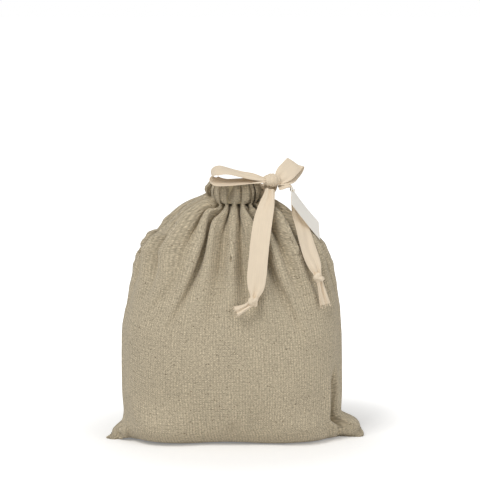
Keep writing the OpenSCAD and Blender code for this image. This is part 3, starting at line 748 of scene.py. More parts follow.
def make_casing():
    """The doubled band at the mouth that the tape runs in, gathered along it and rolled over at the top."""
    cloth, points, normals, uv, neck = sack_cloth()
    count = points.shape[1]
    place_round = np.arange(count)
    crests = np.interp(place_round / 2, np.arange(len(cloth.crest) + 1), np.append(cloth.crest, cloth.crest[0]))
    random = np.random.RandomState(11)
    ruffle, lean, size = (periodic_noise(random, 22, count) for _ in range(3))
    height = MOUTH_Z - NECK_Z
    neck_row = points[neck]
    direction = unit(neck_row[:, :2] / NECK_REACH)
    rise = np.array([0, 0.04, 0.09, 0.15, 0.24, 0.34, 0.45, 0.56, 0.67, 0.77, 0.86])
    valley = np.interp(rise, [0, 0.05, 0.12, 0.3, 0.6, 0.86], [0.05, 0.34, 0.5, 0.64, 0.64, 0.54])
    crest = np.interp(rise, [0, 0.1, 0.25, 0.45, 0.67, 0.77, 0.86], [0.9, 0.94, 1.02, 1.07, 1.04, 0.98, 0.9])

    def lobes(r):
        """How far from its valley to its crest each place of the casing is, at a height."""
        shifted = (place_round + 7 * lean * r) % count
        here = np.interp(shifted, place_round, crests, period=count)
        return here**1.05 * (1 + 0.16 * size)

    def at(share, r, above=0.0):
        """Points at a share of the way from the hole to the reach, and of the way up from the seam line."""
        axes = cloth.hole + share[:, None] * (NECK_REACH - cloth.hole)
        level = neck_row[:, 2] + r * (MOUTH_Z - neck_row[:, 2]) + above
        return np.concatenate([direction * axes, level[:, None]], 1)

    rows, flats = [], []
    for r, low, high in zip(rise, valley, crest):
        point = at(low + (high - low) * lobes(r), r, ruffle * 0.9 * MM * r)
        join = smoothstep(r, 0, 0.1)
        rows.append(point * join + (neck_row + [0, 0, r * height]) * (1 - join))
        flats.append(r * height)
    outer, inner = valley[-1] + (crest[-1] - valley[-1]) * lobes(0.86), 0.16 + 0.26 * lobes(0.86)
    for a in np.radians([18, 40, 62, 84, 106, 128, 150, 168]):
        middle, half = (outer + inner) / 2, (outer - inner) / 2
        lift = ruffle * 0.8 * MM + (2.9 + 0.7 * ruffle) * MM * math.sin(a)
        rows.append(at(middle + half * math.cos(a), 0.86, lift))
        flats.append(height + a * 2 * MM)
    for r in rise[::-1]:
        share = inner * smoothstep(r, 0, 0.3) + 0.12 * lobes(0) * (1 - smoothstep(r, 0, 0.3))
        rows.append(at(share, r))
        flats.append(2.3 * height - r * height)
    grid = np.array(rows)
    made = []
    for name, back in (("front_casing", False), ("back_casing", True)):
        columns = panel_columns(cloth, count, back)
        if back:
            columns = columns[2:]
        else:
            columns = columns[:-2]
        rings = grid[:, columns].transpose(1, 0, 2)
        u = uv[neck, columns, 0]
        u = np.where(np.arange(len(u)) == 0, u[0], u)
        flat = np.stack(np.broadcast_arrays(u[:, None], cloth.body + np.array(flats)[None, :]), -1)
        piece = make_piece(name + "_cloth", swept(rings, flat), "cloth")
        made.append(place(piece, "sack", "cloth", name))
    return made


# ---------------------------------------------------------------- swept tape


def stations_between(stations, parts):
    """Smooth centres, directions across and widths between the given stations."""
    centre = np.array([s[0] for s in stations], float)
    across = unit(np.array([s[1] for s in stations], float))
    width = np.array([s[2] for s in stations], float)[:, None]
    data = np.concatenate([centre, across, width], 1)
    smooth = refined(np.repeat(data[:, None], 2, 1), parts, False)[:, 0]
    return smooth[:, :3], unit(smooth[:, 3:6]), smooth[:, 6]


def tape_strip(stations, tape, parts=6, folds=4, cup=0.0, wobble=0.0, phase=0.0, samples=25):
    """A strip of tape through stations of (centre, direction across, width).

    Where the width is less than the tape's own, the tape is gathered into folds along its length.
    """
    centre, across, width = stations_between(stations, parts)
    along = unit(np.gradient(centre, axis=0))
    face = unit(np.cross(along, across))
    side = unit(np.cross(face, along))
    path = np.concatenate([[0], np.cumsum(np.linalg.norm(np.diff(centre, axis=0), axis=1))])
    s = np.linspace(-1, 1, samples)
    spare = np.maximum(tape.width / width - 1, 0)
    size = width / (math.pi * folds) * 2 * np.sqrt(np.minimum(spare, 1.6)) * 0.62
    fold = np.cos(np.pi * folds * (s[None, :] + 0.12 * np.sin(path[:, None] / (7 * MM) + phase)) / 2 + phase)
    lift = size[:, None] * fold + cup * width[:, None] * (s[None, :] ** 2 - 0.33)
    lift = lift + wobble * np.sin(path[:, None] / (8.5 * MM) + 2.1 * s[None, :] + phase)
    middle = centre[:, None] + side[:, None] * (width[:, None] / 2 * s[None, :])[..., None]
    middle = middle + face[:, None] * lift[..., None]
    normals = unit(np.cross(np.gradient(middle, axis=0), np.gradient(middle, axis=1)))
    edge = np.where(np.abs(s) > 0.97, 0.6, 1.0)[None, :, None]
    half = normals * tape.thickness / 2 * edge
    rings = np.concatenate([middle + half, (middle - half)[:, ::-1]], 1)
    flat = np.stack(np.broadcast_arrays(s[None, :] * tape.width / 2, path[:, None]), -1)
    return swept(rings, np.concatenate([flat, flat[:, ::-1]], 1)), middle


def tube(path, radius, sides=8, flatness=1.0, closed=False, turn=0.0):
    """A tube along a path, with an oval section when flatness is below 1."""
    path = np.asarray(path, float)
    step = (np.roll(path, -1, 0) - np.roll(path, 1, 0)) if closed else np.gradient(path, axis=0)
    along = unit(step)
    normal = np.zeros_like(along)
    guess = np.array([0.0, 0.0, 1.0]) if abs(along[0, 2]) < 0.9 else np.array([1.0, 0.0, 0.0])
    for i, direction in enumerate(along):
        guess = guess - direction * guess.dot(direction)
        guess = guess / np.linalg.norm(guess)
        normal[i] = guess
    other = np.cross(along, normal)
    a = np.linspace(0, 2 * np.pi, sides, endpoint=False) + math.pi / sides + turn
    radius = np.broadcast_to(radius, len(path))
    ring = (normal[:, None] * np.cos(a)[None, :, None] + other[:, None] * flatness * np.sin(a)[None, :, None])
    rings = path[:, None] + ring * radius[:, None, None]
    run = np.concatenate([[0], np.cumsum(np.linalg.norm(np.diff(path, axis=0), axis=1))])
    flat = np.stack(np.broadcast_arrays((a * radius.mean())[None, :], run[:, None]), -1)
    return swept(rings, flat, closed)


def frayed_end(middle, tape, seed):
    """Loose yarns past the last row of a strip's middle points."""
    random = np.random.RandomState(seed)
    last, before = middle[-1], middle[-3]
    out = unit((last - before).mean(0))
    parts = []
    for k in np.linspace(0, len(last) - 1, 19):
        root = last[int(k)]
        lean = out + random.uniform(-0.35, 0.35, 3)
        curl = random.uniform(-0.5, 0.5, 3)
        t = np.linspace(-0.15, 1, 5)[:, None]
        size = tape.fray_length * random.uniform(0.45, 1.0)
        parts.append(tube(root + (lean * t + curl * t**2 * 0.5) * size, 0.19 * MM, sides=4))
    return parts


# ---------------------------------------------------------------- seams and stitches


def stitch_tree():
    """Geometry nodes that lay stitches along a line of edges."""
    tree = bpy.data.node_groups.get("sewn_stitches")
    if tree:
        return tree
    tree = bpy.data.node_groups.new("sewn_stitches", "GeometryNodeTree")
    sockets = tree.interface
    sockets.new_socket(name="Geometry", in_out="INPUT", socket_type="NodeSocketGeometry")
    for name in ("Spacing", "Stitch length", "Thread thickness", "Unevenness"):
        sockets.new_socket(name=name, in_out="INPUT", socket_type="NodeSocketFloat")
    sockets.new_socket(name="Thread", in_out="INPUT", socket_type="NodeSocketMaterial")
    sockets.new_socket(name="Geometry", in_out="OUTPUT", socket_type="NodeSocketGeometry")
    given = add(tree, "NodeGroupInput").outputs
    line = add(tree, "GeometryNodeMeshToCurve", {"Mesh": given["Geometry"]}).outputs[0]
    spaced = add(tree, "GeometryNodeResampleCurve", {"Curve": line, "Length": given["Spacing"]}, mode="LENGTH")
    low = add(tree, "ShaderNodeMath", {0: given["Unevenness"], 1: -1.0}, operation="MULTIPLY").outputs[0]
    shift = add(tree, "FunctionNodeRandomValue", {"Seed": 7}, data_type="FLOAT_VECTOR")
    tree.links.new(low, shift.inputs[0])
    tree.links.new(given["Unevenness"], shift.inputs[1])
    moved = add(tree, "GeometryNodeSetPosition", {"Geometry": spaced.outputs[0], "Offset": shift.outputs[0]})
    stitch = add(tree, "GeometryNodeMeshUVSphere", {"Segments": 6, "Rings": 4, "Radius": 0.5}).outputs["Mesh"]
    size = add(tree, "ShaderNodeCombineXYZ", {0: given["Stitch length"], 1: given["Thread thickness"],
                                              2: given["Thread thickness"]}).outputs[0]
    tangent = add(tree, "GeometryNodeInputTangent").outputs[0]
    turn = add(tree, "FunctionNodeAlignRotationToVector", {"Vector": tangent}, axis="X").outputs[0]
    laid = add(tree, "GeometryNodeInstanceOnPoints", {"Points": moved.outputs[0], "Instance": stitch,
                                                      "Rotation": turn, "Scale": size}).outputs[0]
    real = add(tree, "GeometryNodeRealizeInstances", {"Geometry": laid}).outputs[0]
    shown = add(tree, "GeometryNodeSetMaterial", {"Geometry": real, "Material": given["Thread"]}).outputs[0]
    add(tree, "NodeGroupOutput", {"Geometry": shown})
    return tree


def stitched(name, line, settings, spacing, length):
    """A mesh of stitches along a line of points."""
    mesh = bpy.data.meshes.new(name + "_line")
    mesh.from_pydata(line.tolist(), [(i, i + 1) for i in range(len(line) - 1)], [])
    holder = bpy.data.objects.new(name + "_line", mesh)
    bpy.context.scene.collection.objects.link(holder)
    tree = stitch_tree()
    modifier = holder.modifiers.new("stitches", "NODES")
    modifier.node_group = tree
    values = {"Spacing": spacing, "Stitch length": length, "Thread thickness": settings.thread_thickness,
              "Unevenness": settings.thread_thickness * 0.25, "Thread": material_named("thread")}
    for item in tree.interface.items_tree:
        if item.in_out == "INPUT" and item.name in values:
            modifier[item.identifier] = values[item.name]
    bpy.context.view_layer.update()
    evaluated = holder.evaluated_get(bpy.context.evaluated_depsgraph_get())
    result = bpy.data.meshes.new_from_object(evaluated)
    result.polygons.foreach_set("use_smooth", np.ones(len(result.polygons), bool))
    piece = bpy.data.objects.new(name, result)
    bpy.context.scene.collection.objects.link(piece)
    bpy.data.objects.remove(holder)
    return piece


def make_stitches():
    """The stitched line that closes the casing under the tape, front and back."""
    cloth, points, normals, uv, neck = sack_cloth()
    settings = bpy.context.scene.gift_sack
    line = points[neck] + normals[neck] * settings.thread_thickness * 0.4 + [0, 0, 0.5 * MM]
    for name, back in (("front_casing_stitches", False), ("back_casing_stitches", True)):
        columns = panel_columns(cloth, len(line), back)
        piece = stitched(name + "_thread", line[columns], settings, settings.stitch_spacing, settings.stitch_length)
        place(piece, "sack", "thread", name)


def make_seams():
    """The seam allowances inside the sack, with the thread that binds their edges."""
    cloth, points, normals, uv, neck = sack_cloth()
    settings = bpy.context.scene.gift_sack
    width, thickness, rows = 10 * MM, 2.2 * MM, slice(40, neck - 20)
    for name, column, way in (("left", 0, 1), ("right", points.shape[1] // 2, -1)):
        seam = points[rows, column]
        inner = (points[rows, column - 10] + points[rows, column + 10]) / 2
        inward = unit(inner - seam)
        inward[:, 1] = 0
        inward = unit(inward)
        near, far = seam + inward * 3 * MM, seam + inward * (3 * MM + width)
        cross = np.array([0, thickness / 2, 0]) * way
        rings = np.stack([near - cross, far - cross, far + cross, near + cross], 1)
        run = np.linspace(0, cloth.body, len(seam))
        flat = np.stack([np.stack([np.full_like(run, x), run], 1) for x in (0, width, width, 0)], 1)
        piece = make_piece(f"{name}_seam_cloth", swept(rings, flat), "cloth", sharp_angle=30)
        place(piece, "sack", "cloth", f"{name}_seam_allowance")
        edge = far + inward * 0.3 * MM
        zigzag = edge + np.array([0, 1, 0]) * (np.arange(len(edge)) % 2 * 2 - 1)[:, None] * thickness / 2
        thread = stitched(f"{name}_overlock_stitches", zigzag, settings, 1.3 * MM, 1.9 * MM)
        place(thread, "sack", "thread", f"{name}_overlock_thread")
    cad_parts["bottom_seam_allowance"].data.materials.clear()
    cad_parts["bottom_seam_allowance"].data.materials.append(material_named("thread"))
    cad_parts["bottom_overlock_thread"].data.materials.clear()
    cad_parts["bottom_overlock_thread"].data.materials.append(material_named("thread"))


# ---------------------------------------------------------------- the tape, bow and tails

KNOT_LOW, KNOT_HIGH = (np.array(c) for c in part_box("bow_knot"))
KNOT = (KNOT_LOW + KNOT_HIGH) / 2
KNOT_SIZE = KNOT_HIGH - KNOT_LOW

FRONT_LEAD = [
    ((0.0243, -0.0017, 0.266), (0, 0, 1), 0.0190),
    ((0.0320, -0.0022, 0.267), (0, 0, 1), 0.0170),
    ((0.0345, -0.0060, 0.2725), (-0.3, 0.2, 1), 0.0110),
    ((0.0370, -0.0087, 0.2785), (-0.5, 0.1, 1), 0.0080),
]
BACK_LEAD = [
    ((0.0243, 0.0014, 0.266), (0, 0, 1), 0.0190),
    ((0.0335, 0.0018, 0.267), (0, 0, 1), 0.0170),
    ((0.0405, -0.0030, 0.274), (-0.3, -0.2, 1), 0.0110),
    ((0.0425, -0.0092, 0.2805), (-0.5, -0.1, 1), 0.0080),
]
LEFT_LOOP = [
    ((0.0340, -0.0165, 0.2822), (0, 1, 0.2), 0.008),
    ((0.0285, -0.0172, 0.2832), (0, 1, 0.25), 0.011),
    ((0.0190, -0.0190, 0.2856), (0, 1, 0.32), 0.015),
    ((0.0060, -0.0200, 0.2884), (0, 1, 0.28), 0.018),
    ((-0.0070, -0.0210, 0.2918), (0, 1, 0.28), 0.020),
    ((-0.0160, -0.0215, 0.2926), (0, 0.92, 0.44), 0.020),
    ((-0.0220, -0.0220, 0.2902), (0, 0.88, 0.5), 0.020),
    ((-0.0238, -0.0225, 0.2850), (0, 0.85, 0.55), 0.020),
    ((-0.0200, -0.0235, 0.2806), (0, 0.9, 0.46), 0.020),
    ((-0.0090, -0.0235, 0.2788), (0, 1, 0.30), 0.020),
    ((0.0050, -0.0225, 0.2794), (0, 1, 0.28), 0.019),
    ((0.0180, -0.0195, 0.2804), (0, 1, 0.3), 0.016),
    ((0.0285, -0.0172, 0.2806), (0, 1, 0.25), 0.012),
    ((0.0340, -0.0165, 0.2806), (0, 1, 0.2), 0.008),
]
RIGHT_ACROSS = (0.77, -0.19, -0.6)
RIGHT_LOOP = [
    ((0.0430, -0.0165, 0.2812), RIGHT_ACROSS, 0.010),
    ((0.0470, -0.0155, 0.2830), RIGHT_ACROSS, 0.014),
    ((0.0505, -0.0135, 0.2856), RIGHT_ACROSS, 0.018),
    ((0.0543, -0.0100, 0.2888), RIGHT_ACROSS, 0.020),
    ((0.0580, -0.0045, 0.2920), RIGHT_ACROSS, 0.020),
    ((0.0618, 0.0020, 0.2952), RIGHT_ACROSS, 0.020),
    ((0.0640, 0.0070, 0.2966), RIGHT_ACROSS, 0.020),
    ((0.0645, 0.0092, 0.2942), RIGHT_ACROSS, 0.020),
    ((0.0628, 0.0060, 0.2908), RIGHT_ACROSS, 0.020),
    ((0.0588, -0.0020, 0.2866), RIGHT_ACROSS, 0.020),
    ((0.0548, -0.0090, 0.2836), RIGHT_ACROSS, 0.020),
    ((0.0500, -0.0140, 0.2812), RIGHT_ACROSS, 0.015),
    ((0.0430, -0.0165, 0.2798), RIGHT_ACROSS, 0.009),
]
LEFT_TAIL = [
    ((0.0370, -0.0205, 0.2720), (1, 0, 0), 0.010),
    ((0.0360, -0.0240, 0.2660), (1, 0.05, 0.2), 0.012),
    ((0.0330, -0.0310, 0.2550), (1, 0.05, 0.2), 0.017),
    ((0.0295, -0.0400, 0.2410), (1, 0.05, 0.15), 0.0195),
    ((0.0265, -0.0490, 0.2220), (1, 0.05, 0.1), 0.020),
    ((0.0245, -0.0550, 0.2030), (1, 0.04, 0.07), 0.020),
    ((0.0228, -0.0595, 0.1850), (1, 0.04, 0.03), 0.020),
    ((0.0220, -0.0618, 0.1730), (1, 0.04, 0), 0.017),
    ((0.0207, -0.0639, 0.1651), (1, 0.04, 0), 0.010),
    ((0.0193, -0.0656, 0.1595), (0.8, 0, -0.5), 0.007),
    ((0.0145, -0.0660, 0.1558), (0.5, 0, -0.85), 0.007),
    ((0.0100, -0.0662, 0.1532), (0.5, 0, -0.85), 0.007),
    ((0.0055, -0.0662, 0.1510), (0.45, 0, -0.9), 0.009),
    ((0.0015, -0.0660, 0.1490), (0.35, 0, -0.94), 0.0115),
]
RIGHT_TAIL = [
    ((0.0460, -0.0165, 0.2730), (0, 1, 0.4), 0.008),
    ((0.0505, -0.0160, 0.2741), (0, 1, 0.4), 0.0095),
    ((0.0553, -0.0154, 0.2752), (0, 1, 0.25), 0.0105),
    ((0.0588, -0.0149, 0.2742), (0, 1, 0.05), 0.0105),
    ((0.0603, -0.0148, 0.2705), (0.05, 1, 0), 0.011),
    ((0.0617, -0.0152, 0.2610), (0.25, 0.97, 0), 0.014),
    ((0.0650, -0.0175, 0.2490), (0.5, 0.87, 0), 0.018),
    ((0.0700, -0.0240, 0.2355), (0.7, 0.71, 0), 0.0195),
    ((0.0753, -0.0338, 0.2170), (0.79, 0.61, 0), 0.0195),
    ((0.0805, -0.0395, 0.2020), (0.82, 0.57, 0.1), 0.0185),
    ((0.0840, -0.0420, 0.1925), (0.85, 0.5, 0.2), 0.015),
    ((0.0860, -0.0423, 0.1865), (0.9, 0.4, 0.2), 0.010),
    ((0.0878, -0.0434, 0.1806), (1, 0.3, 0.3), 0.007),
    ((0.0897, -0.0432, 0.1746), (1, 0.3, 0.3), 0.007),
    ((0.0913, -0.0428, 0.1685), (1, 0.3, 0.3), 0.008),
    ((0.0930, -0.0422, 0.1610), (1, 0.3, 0.25), 0.0095),
    ((0.0948, -0.0416, 0.1525), (1, 0.3, 0.2), 0.0115),
]


def make_drawstring():
    """The tape inside the casing, and the two leads that bring it to the knot."""
    tape = bpy.context.scene.gift_sack_tape
    for name, stations in (("front_lead", FRONT_LEAD), ("back_lead", BACK_LEAD)):
        strip, _ = tape_strip(stations, tape, folds=5)
        place(make_piece(name + "_tape", strip, "tape"), "sack", "tape", name)
    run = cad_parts["drawstring_run"]
    run.data.materials.clear()
    run.data.materials.append(material_named("thread"))


def make_knot():
    """The bow's knot: tape pinched together through the middle, and tape wrapped round it."""
    tape = bpy.context.scene.gift_sack_tape
    long, high = KNOT_SIZE[0] / 2, KNOT_SIZE[2] / 2
    x = np.linspace(-1, 1, 41)
    a = np.linspace(0, 2 * np.pi, 96, endpoint=False)
    body = np.sqrt(np.clip(1 - (0.93 * x) ** 2, 0, 1)) ** 0.8
    pleat = 1 + 0.10 * np.cos(11 * a[None, :] + 2.2 * x[:, None] + 0.8 * np.sin(2 * a)[None, :])
    radius = (high - 1.6 * MM) * body[:, None] * pleat
    core = np.stack(np.broadcast_arrays(
        long * 0.99 * x[:, None], radius * np.cos(a)[None, :], radius * np.sin(a)[None, :]), -1)
    flat = np.stack(np.broadcast_arrays(a[None, :] * high, x[:, None] * long), -1)
    parts = [swept(core, flat)]
    for tilt, width, reach, shift in ((0.10, 11.5 * MM, high - 0.9 * MM, -0.6 * MM),
                                      (-0.42, 7.0 * MM, high - 0.5 * MM, 1.2 * MM)):
        s = np.linspace(-1, 1, 21)
        b = np.linspace(0, 2 * np.pi, 120, endpoint=False)
        fold = 0.42 * MM * np.cos(7.5 * s[None, :] + 1.3 * np.sin(b)[:, None] + 9 * tilt)
        fold = fold - 1.1 * MM * np.abs(s[None, :]) ** 3
        r = (reach + fold) * (1 + 0.05 * np.sin(2 * b + 1)[:, None])
        px = shift + width / 2 * s[None, :] * (0.82 + 0.14 * np.sin(b + 0.6)[:, None]) + tilt * reach * np.cos(
            b)[:, None]
        middle = np.stack(np.broadcast_arrays(px, r * np.cos(b)[:, None], r * np.sin(b)[:, None]), -1)
        outer = np.stack([middle[..., 0] * 0, np.broadcast_to(np.cos(b)[:, None], r.shape),
                          np.broadcast_to(np.sin(b)[:, None], r.shape)], -1)
        half = outer * tape.thickness * 0.6
        rings = np.concatenate([middle - half, (middle + half)[:, ::-1]], 1)
        flat = np.stack(np.broadcast_arrays(s[None, :] * tape.width / 2, b[:, None] * reach), -1)
        parts.append(swept(rings, np.concatenate([flat, flat[:, ::-1]], 1), closed=True))
    points, faces, uv = joined(parts)
    piece = make_piece("bow_knot_tape", (points + KNOT, faces, uv), "tape")
    recalculate(piece)
    place(piece, "sack", "tape", "bow_knot")


def recalculate(piece):
    """Turns every face of a piece outwards."""
    mesh = bmesh.new()
    mesh.from_mesh(piece.data)
    bmesh.ops.recalc_face_normals(mesh, faces=mesh.faces)
    mesh.to_mesh(piece.data)
    mesh.free()


def make_loops():
    """The two loops of the bow, gathered where they go into the knot."""
    tape = bpy.context.scene.gift_sack_tape
    for name, body, stations, cup in (("left_loop", "bow_left", LEFT_LOOP, 0.05),
                                      ("right_loop", "bow_right", RIGHT_LOOP, 0.04)):
        strip, middle = tape_strip(stations, tape, folds=5, cup=cup, wobble=0.25 * MM)
        piece = place(make_piece(name + "_tape", strip, "tape"), body, "tape", name)


def overhand_knot(low, high, direction, seed):
    """An overhand knot drawn tight, in the box of its CAD node, with its tape running in direction."""
    centre, size = (low + high) / 2, (high - low).min() * 1.22
    t = np.linspace(0, 2 * np.pi, 110, endpoint=False)
    path = np.stack([np.sin(t) + 2 * np.sin(2 * t), np.cos(t) - 2 * np.cos(2 * t), -1.25 * np.sin(3 * t)], 1)
    section = 0.235 * size
    path = path * (size / 2 - section) / 3.0
    wrinkle = 1 + 0.07 * np.sin(9 * t + seed)
    part = tube(path, section * wrinkle, sides=16, flatness=0.82, closed=True)
    turn = np.array(Vector((0, 0, 1)).rotation_difference(Vector(direction)).to_matrix())
    tip = np.array(Matrix.Rotation(math.radians(55), 3, "X"))
    return part[0] @ tip.T @ turn.T + centre, part[1], part[2]


def make_tails():
    """The tape's two free ends: each hangs from the knot, is knotted near its end, and is frayed where it is cut."""
    tape = bpy.context.scene.gift_sack_tape
    for side, stations, seed in (("left", LEFT_TAIL, 3), ("right", RIGHT_TAIL, 8)):
        body = f"tail_{side}"
        strip, middle = tape_strip(stations, tape, folds=4, cup=0.03, wobble=0.3 * MM, phase=seed)
        parts = [strip] + frayed_end(middle, tape, seed)
        piece = make_piece(f"{side}_tail_tape", joined(parts), "tape")
        place(piece, body, "tape", f"{side}_tail", f"{side}_tail_end")
        low, high = (np.array(c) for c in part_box(f"{side}_tail_knot"))
        centres, _, _ = stations_between(stations, 4)
        near = np.linalg.norm(centres - (low + high) / 2, axis=1).argmin()
        knot = overhand_knot(low, high, centres[near + 2] - centres[near - 2], seed)
        knot_piece = make_piece(f"{side}_tail_knot_tape", knot, "tape")
        place(knot_piece, body, "tape", f"{side}_tail_knot")


# ---------------------------------------------------------------- the label


def make_label():
    """The blank card label and the loop of thread that it hangs by."""
    settings = bpy.context.scene.gift_sack_label
    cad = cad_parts["label"].data
    points = np.array([v.co for v in cad.vertices])
    along = unit((0.031, 0.032, -0.042))
    face = unit(np.cross(along, (0.0005, -0.0215, -0.016)))
    across = np.cross(face, along)
    local = points @ np.array([along, across, face]).T
    low, high = local.min(0), local.max(0)
    curve = bpy.data.curves.new("label_outline", "CURVE")
    curve.dimensions = "2D"
    curve.fill_mode = "BOTH"
    curve.extrude = settings.thickness / 2
    hole, inset = 2.0 * MM, 3.6 * MM
    for outline in (rounded_outline(settings.length, settings.width, 0.8 * MM), circle_outline(inset, inset, hole)):
        spline = curve.splines.new("POLY")
        spline.points.add(len(outline) - 1)
        for point, (x, y) in zip(spline.points, outline):
            point.co = (x, y, 0, 1)
        spline.use_cyclic_u = True
    holder = bpy.data.objects.new("label_outline", curve)
    bpy.context.scene.collection.objects.link(holder)
    bpy.context.view_layer.update()
    mesh = bpy.data.meshes.new_from_object(holder.evaluated_get(bpy.context.evaluated_depsgraph_get()))
    bpy.data.objects.remove(holder)
    work = bmesh.new()
    work.from_mesh(mesh)
    bmesh.ops.remove_doubles(work, verts=work.verts, dist=1e-6)
    for k in range(1, 20):
        everything = list(work.verts) + list(work.edges) + list(work.faces)
        bmesh.ops.bisect_plane(work, geom=everything, plane_co=(settings.length * k / 20, 0, 0),
                               plane_no=(1, 0, 0))
    for vertex in work.verts:
        share = vertex.co.x / settings.length
        vertex.co.z += 1.1 * MM * (math.sin(math.pi * share) - 0.6 * math.sin(math.pi * share) ** 2 * vertex.co.y
                                   / settings.width)
    bmesh.ops.recalc_face_normals(work, faces=work.faces)
    work.to_mesh(mesh)
    work.free()
    matrix = np.eye(4)
    matrix[:3, 0], matrix[:3, 1], matrix[:3, 2] = along, across, face
    matrix[:3, 3] = np.array([low[0], low[1], (low[2] + high[2]) / 2]) @ np.array([along, across, face])
    mesh.transform(Matrix(matrix))
    mesh.materials.clear()
    mesh.materials.append(material_named("label"))
    piece = bpy.data.objects.new("label_card", mesh)
    bpy.context.scene.collection.objects.link(piece)
    mesh.set_sharp_from_angle(angle=math.radians(40))
    place(piece, "tag", "label", "label")
    make_label_thread()


def rounded_outline(length, width, radius):
    """A rectangle from the origin with rounded corners."""
    points = []
    for cx, cy, start in ((length - radius, radius, -90), (length - radius, width - radius, 0),
                          (radius, width - radius, 90), (radius, radius, 180)):
        for step in range(5):
            a = math.radians(start + 22.5 * step)
            points.append((cx + radius * math.cos(a), cy + radius * math.sin(a)))
    return points


def circle_outline(x, y, radius):
    angles = np.linspace(0, 2 * np.pi, 40, endpoint=False)
    return [(x + radius * math.cos(a), y + radius * math.sin(a)) for a in angles]


def make_label_thread():
    """Two plies of thread twisted together, in a long loop round the tape and through the label's hole."""
    low, high = (np.array(c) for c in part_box("label_thread"))
    centre, reach = (low + high) / 2, (high - low) / 2
    ply = reach[2] * 0.52
    end = reach[0] - reach[2]
    straight = reach[1] - reach[0]
    a = np.linspace(0, 2 * np.pi, 240, endpoint=False)
    path = np.stack([end * np.cos(a), end * np.sin(a) + straight * np.clip(3 * np.sin(a), -1, 1), 0 * a], 1)
    parts = []
    for k in (0, 1):
        twist = 22 * a + math.pi * k
        out = np.stack([np.cos(a), np.sin(a), 0 * a], 1)
        offset = out * np.cos(twist)[:, None] + np.array([0, 0, 1]) * np.sin(twist)[:, None]
        parts.append(tube(centre + path + offset * ply * 0.8, ply, sides=6, closed=True))
    piece = make_piece("label_thread_loop", joined(parts), "thread")
    recalculate(piece)
    place(piece, "tag", "thread", "label_thread")


# ---------------------------------------------------------------- stage


def white_to_camera(tree, lit, strength):
    """Adds plain white to what the camera, reflections and clear surfaces see, and to nothing else."""
    path = add(tree, "ShaderNodeLightPath").outputs
    seen = calc(tree, "MAXIMUM", path["Is Camera Ray"], calc(tree, "MAXIMUM", path["Is Glossy Ray"],
                                                             path["Is Transmission Ray"]))
    glow = add(tree, "ShaderNodeEmission", {"Color": (1, 1, 1, 1), "Strength": calc(tree, "MULTIPLY", seen, strength)})
    return add(tree, "ShaderNodeAddShader", {0: lit, 1: glow.outputs[0]}).outputs[0]


def make_floor():
    """A pale floor that keeps the sack's shadow."""
    mesh = bpy.data.meshes.new("floor")
    reach = 30.0
    mesh.from_pydata([(-reach, -reach, 0), (reach, -reach, 0), (reach, reach, 0), (-reach, reach, 0)], [],
                     [(0, 1, 2, 3)])
    floor = bpy.data.objects.new("floor", mesh)
    bpy.context.scene.collection.objects.link(floor)
    material, tree = new_material("white_studio_floor")
    lit = add(tree, "ShaderNodeBsdfDiffuse", {"Color": linear("#f4f3f1")}).outputs[0]
    place = add(tree, "ShaderNodeTexCoord").outputs["Object"]
    distance = add(tree, "ShaderNodeVectorMath", {0: place}, operation="LENGTH").outputs["Value"]
    far = add(tree, "ShaderNodeMapRange", {"Value": distance, "From Min": 0.1, "From Max": 0.34, "To Min": 0.2,
                                           "To Max": 0.8}, interpolation_type="SMOOTHSTEP").outputs[0]
    output(tree, white_to_camera(tree, lit, far))
    mesh.materials.append(material)


def make_world():
    """White behind everything, and a soft light from all round."""
    world = bpy.data.worlds.new("white_studio")
    bpy.context.scene.world = world
    world.use_nodes = True
    tree = world.node_tree
    tree.nodes.clear()
    path = add(tree, "ShaderNodeLightPath").outputs
    seen = calc(tree, "MAXIMUM", path["Is Camera Ray"], path["Is Transmission Ray"])
    strength = calc(tree, "MULTIPLY_ADD", seen, 0.57, 0.43)
    back = add(tree, "ShaderNodeBackground", {"Color": (1, 1, 1, 1), "Strength": strength})
    add(tree, "ShaderNodeOutputWorld", {"Surface": back.outputs[0]})


def make_lamp(name, energy, size, position, target):
    data = bpy.data.lights.new(name, "AREA")
    data.energy = energy
    data.size = size
    lamp = bpy.data.objects.new(name, data)
    lamp.location = position
    lamp.rotation_euler = (Vector(target) - Vector(position)).to_track_quat("-Z", "Y").to_euler()
    bpy.context.scene.collection.objects.link(lamp)


def make_camera():
    """A long lens a little above the sack, level with nothing in it turned."""
    elevation, distance = math.radians(8), 1.9
    target = Vector((5.4, 0, 214.9)) * MM
    data = bpy.data.cameras.new("camera")
    data.lens_unit = "FOV"
    data.angle = 2 * math.atan(0.2568 / distance)
    camera = bpy.data.objects.new("camera", data)
    camera.location = target + Vector((0, -math.cos(elevation), math.sin(elevation))) * distance
    camera.rotation_euler = (target - camera.location).to_track_quat("-Z", "Y").to_euler()
    bpy.context.scene.collection.objects.link(camera)
    bpy.context.scene.camera = camera


def make_stage():
    """Floor, light and camera."""
    make_floor()
    make_world()
    make_lamp("soft_key", 36, 1.0, (-1.0, -1.45, 2.2), (0, 0, 0.12))
    make_lamp("soft_fill", 13, 1.4, (1.9, -1.4, 1.0), (0, 0, 0.12))
    make_camera()
    bpy.context.scene.view_settings.view_transform = "Standard"


# ---------------------------------------------------------------- operators, panel and registration


class GIFTSACK_OT_stage(bpy.types.Operator):
    """Set up the floor, the light and the camera"""

    bl_idname = "gift_sack.stage"
    bl_label = "Stage"

    def execute(self, context):
        make_stage()
        return {"FINISHED"}


class GIFTSACK_OT_panels(bpy.types.Operator):
    """Make the sack's front and back panels and the gathered casing at its mouth"""

    bl_idname = "gift_sack.panels"
    bl_label = "Cloth"

    def execute(self, context):
        panels, casings = make_panels(), make_casing()
        return {"FINISHED"}


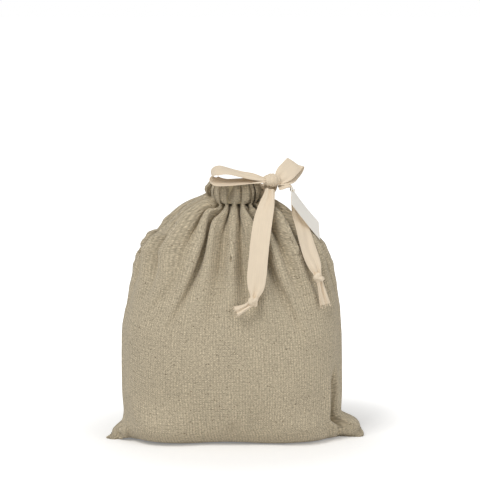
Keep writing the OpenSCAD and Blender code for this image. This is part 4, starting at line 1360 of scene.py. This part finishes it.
class GIFTSACK_OT_sewing(bpy.types.Operator):
    """Make the seam allowances, their bound edges and the casing's stitches"""

    bl_idname = "gift_sack.sewing"
    bl_label = "Seams and stitches"

    def execute(self, context):
        make_stitches()
        make_seams()
        return {"FINISHED"}


class GIFTSACK_OT_drawstring(bpy.types.Operator):
    """Make the tape from the casing to the knot"""

    bl_idname = "gift_sack.drawstring"
    bl_label = "Drawstring"

    def execute(self, context):
        make_drawstring()
        return {"FINISHED"}


class GIFTSACK_OT_bow(bpy.types.Operator):
    """Make the bow's knot and its two loops"""

    bl_idname = "gift_sack.bow"
    bl_label = "Bow"

    def execute(self, context):
        make_knot()
        make_loops()
        return {"FINISHED"}


class GIFTSACK_OT_tails(bpy.types.Operator):
    """Make the tape's two hanging ends, each with its knot and its frayed cut"""

    bl_idname = "gift_sack.tails"
    bl_label = "Tails"

    def execute(self, context):
        make_tails()
        return {"FINISHED"}


class GIFTSACK_OT_label(bpy.types.Operator):
    """Make the blank label and its loop of thread"""

    bl_idname = "gift_sack.label"
    bl_label = "Label"

    def execute(self, context):
        make_label()
        return {"FINISHED"}


OPERATORS = (GIFTSACK_OT_stage, GIFTSACK_OT_panels, GIFTSACK_OT_sewing, GIFTSACK_OT_drawstring, GIFTSACK_OT_bow,
             GIFTSACK_OT_tails, GIFTSACK_OT_label)


class GIFTSACK_PT_panel(bpy.types.Panel):
    """Sizes and colours of the sack, and a button for each of its pieces"""

    bl_label = "Gift Sack"
    bl_idname = "GIFTSACK_PT_panel"
    bl_space_type = "VIEW_3D"
    bl_region_type = "UI"
    bl_category = "Gift Sack"

    def draw(self, context):
        scene = context.scene
        for group in (scene.gift_sack, scene.gift_sack_tape, scene.gift_sack_label):
            box = self.layout.box()
            for name in group.__annotations__:
                box.prop(group, name)
        for operator in OPERATORS:
            self.layout.operator(operator.bl_idname)


SETTINGS = {"gift_sack": SackSettings, "gift_sack_tape": TapeSettings, "gift_sack_label": LabelSettings}
CLASSES = (*SETTINGS.values(), *OPERATORS, GIFTSACK_PT_panel)


def register():
    for cls in CLASSES:
        bpy.utils.register_class(cls)
    for name, group in SETTINGS.items():
        setattr(bpy.types.Scene, name, bpy.props.PointerProperty(type=group))


def unregister():
    for name in SETTINGS:
        delattr(bpy.types.Scene, name)
    for cls in reversed(CLASSES):
        bpy.utils.unregister_class(cls)


def main():
    register()
    for step in (bpy.ops.gift_sack.stage, bpy.ops.gift_sack.tails, bpy.ops.gift_sack.panels,
                 bpy.ops.gift_sack.sewing, bpy.ops.gift_sack.drawstring, bpy.ops.gift_sack.bow,
                 bpy.ops.gift_sack.label):
        step()


if __name__ == "__main__":
    main()
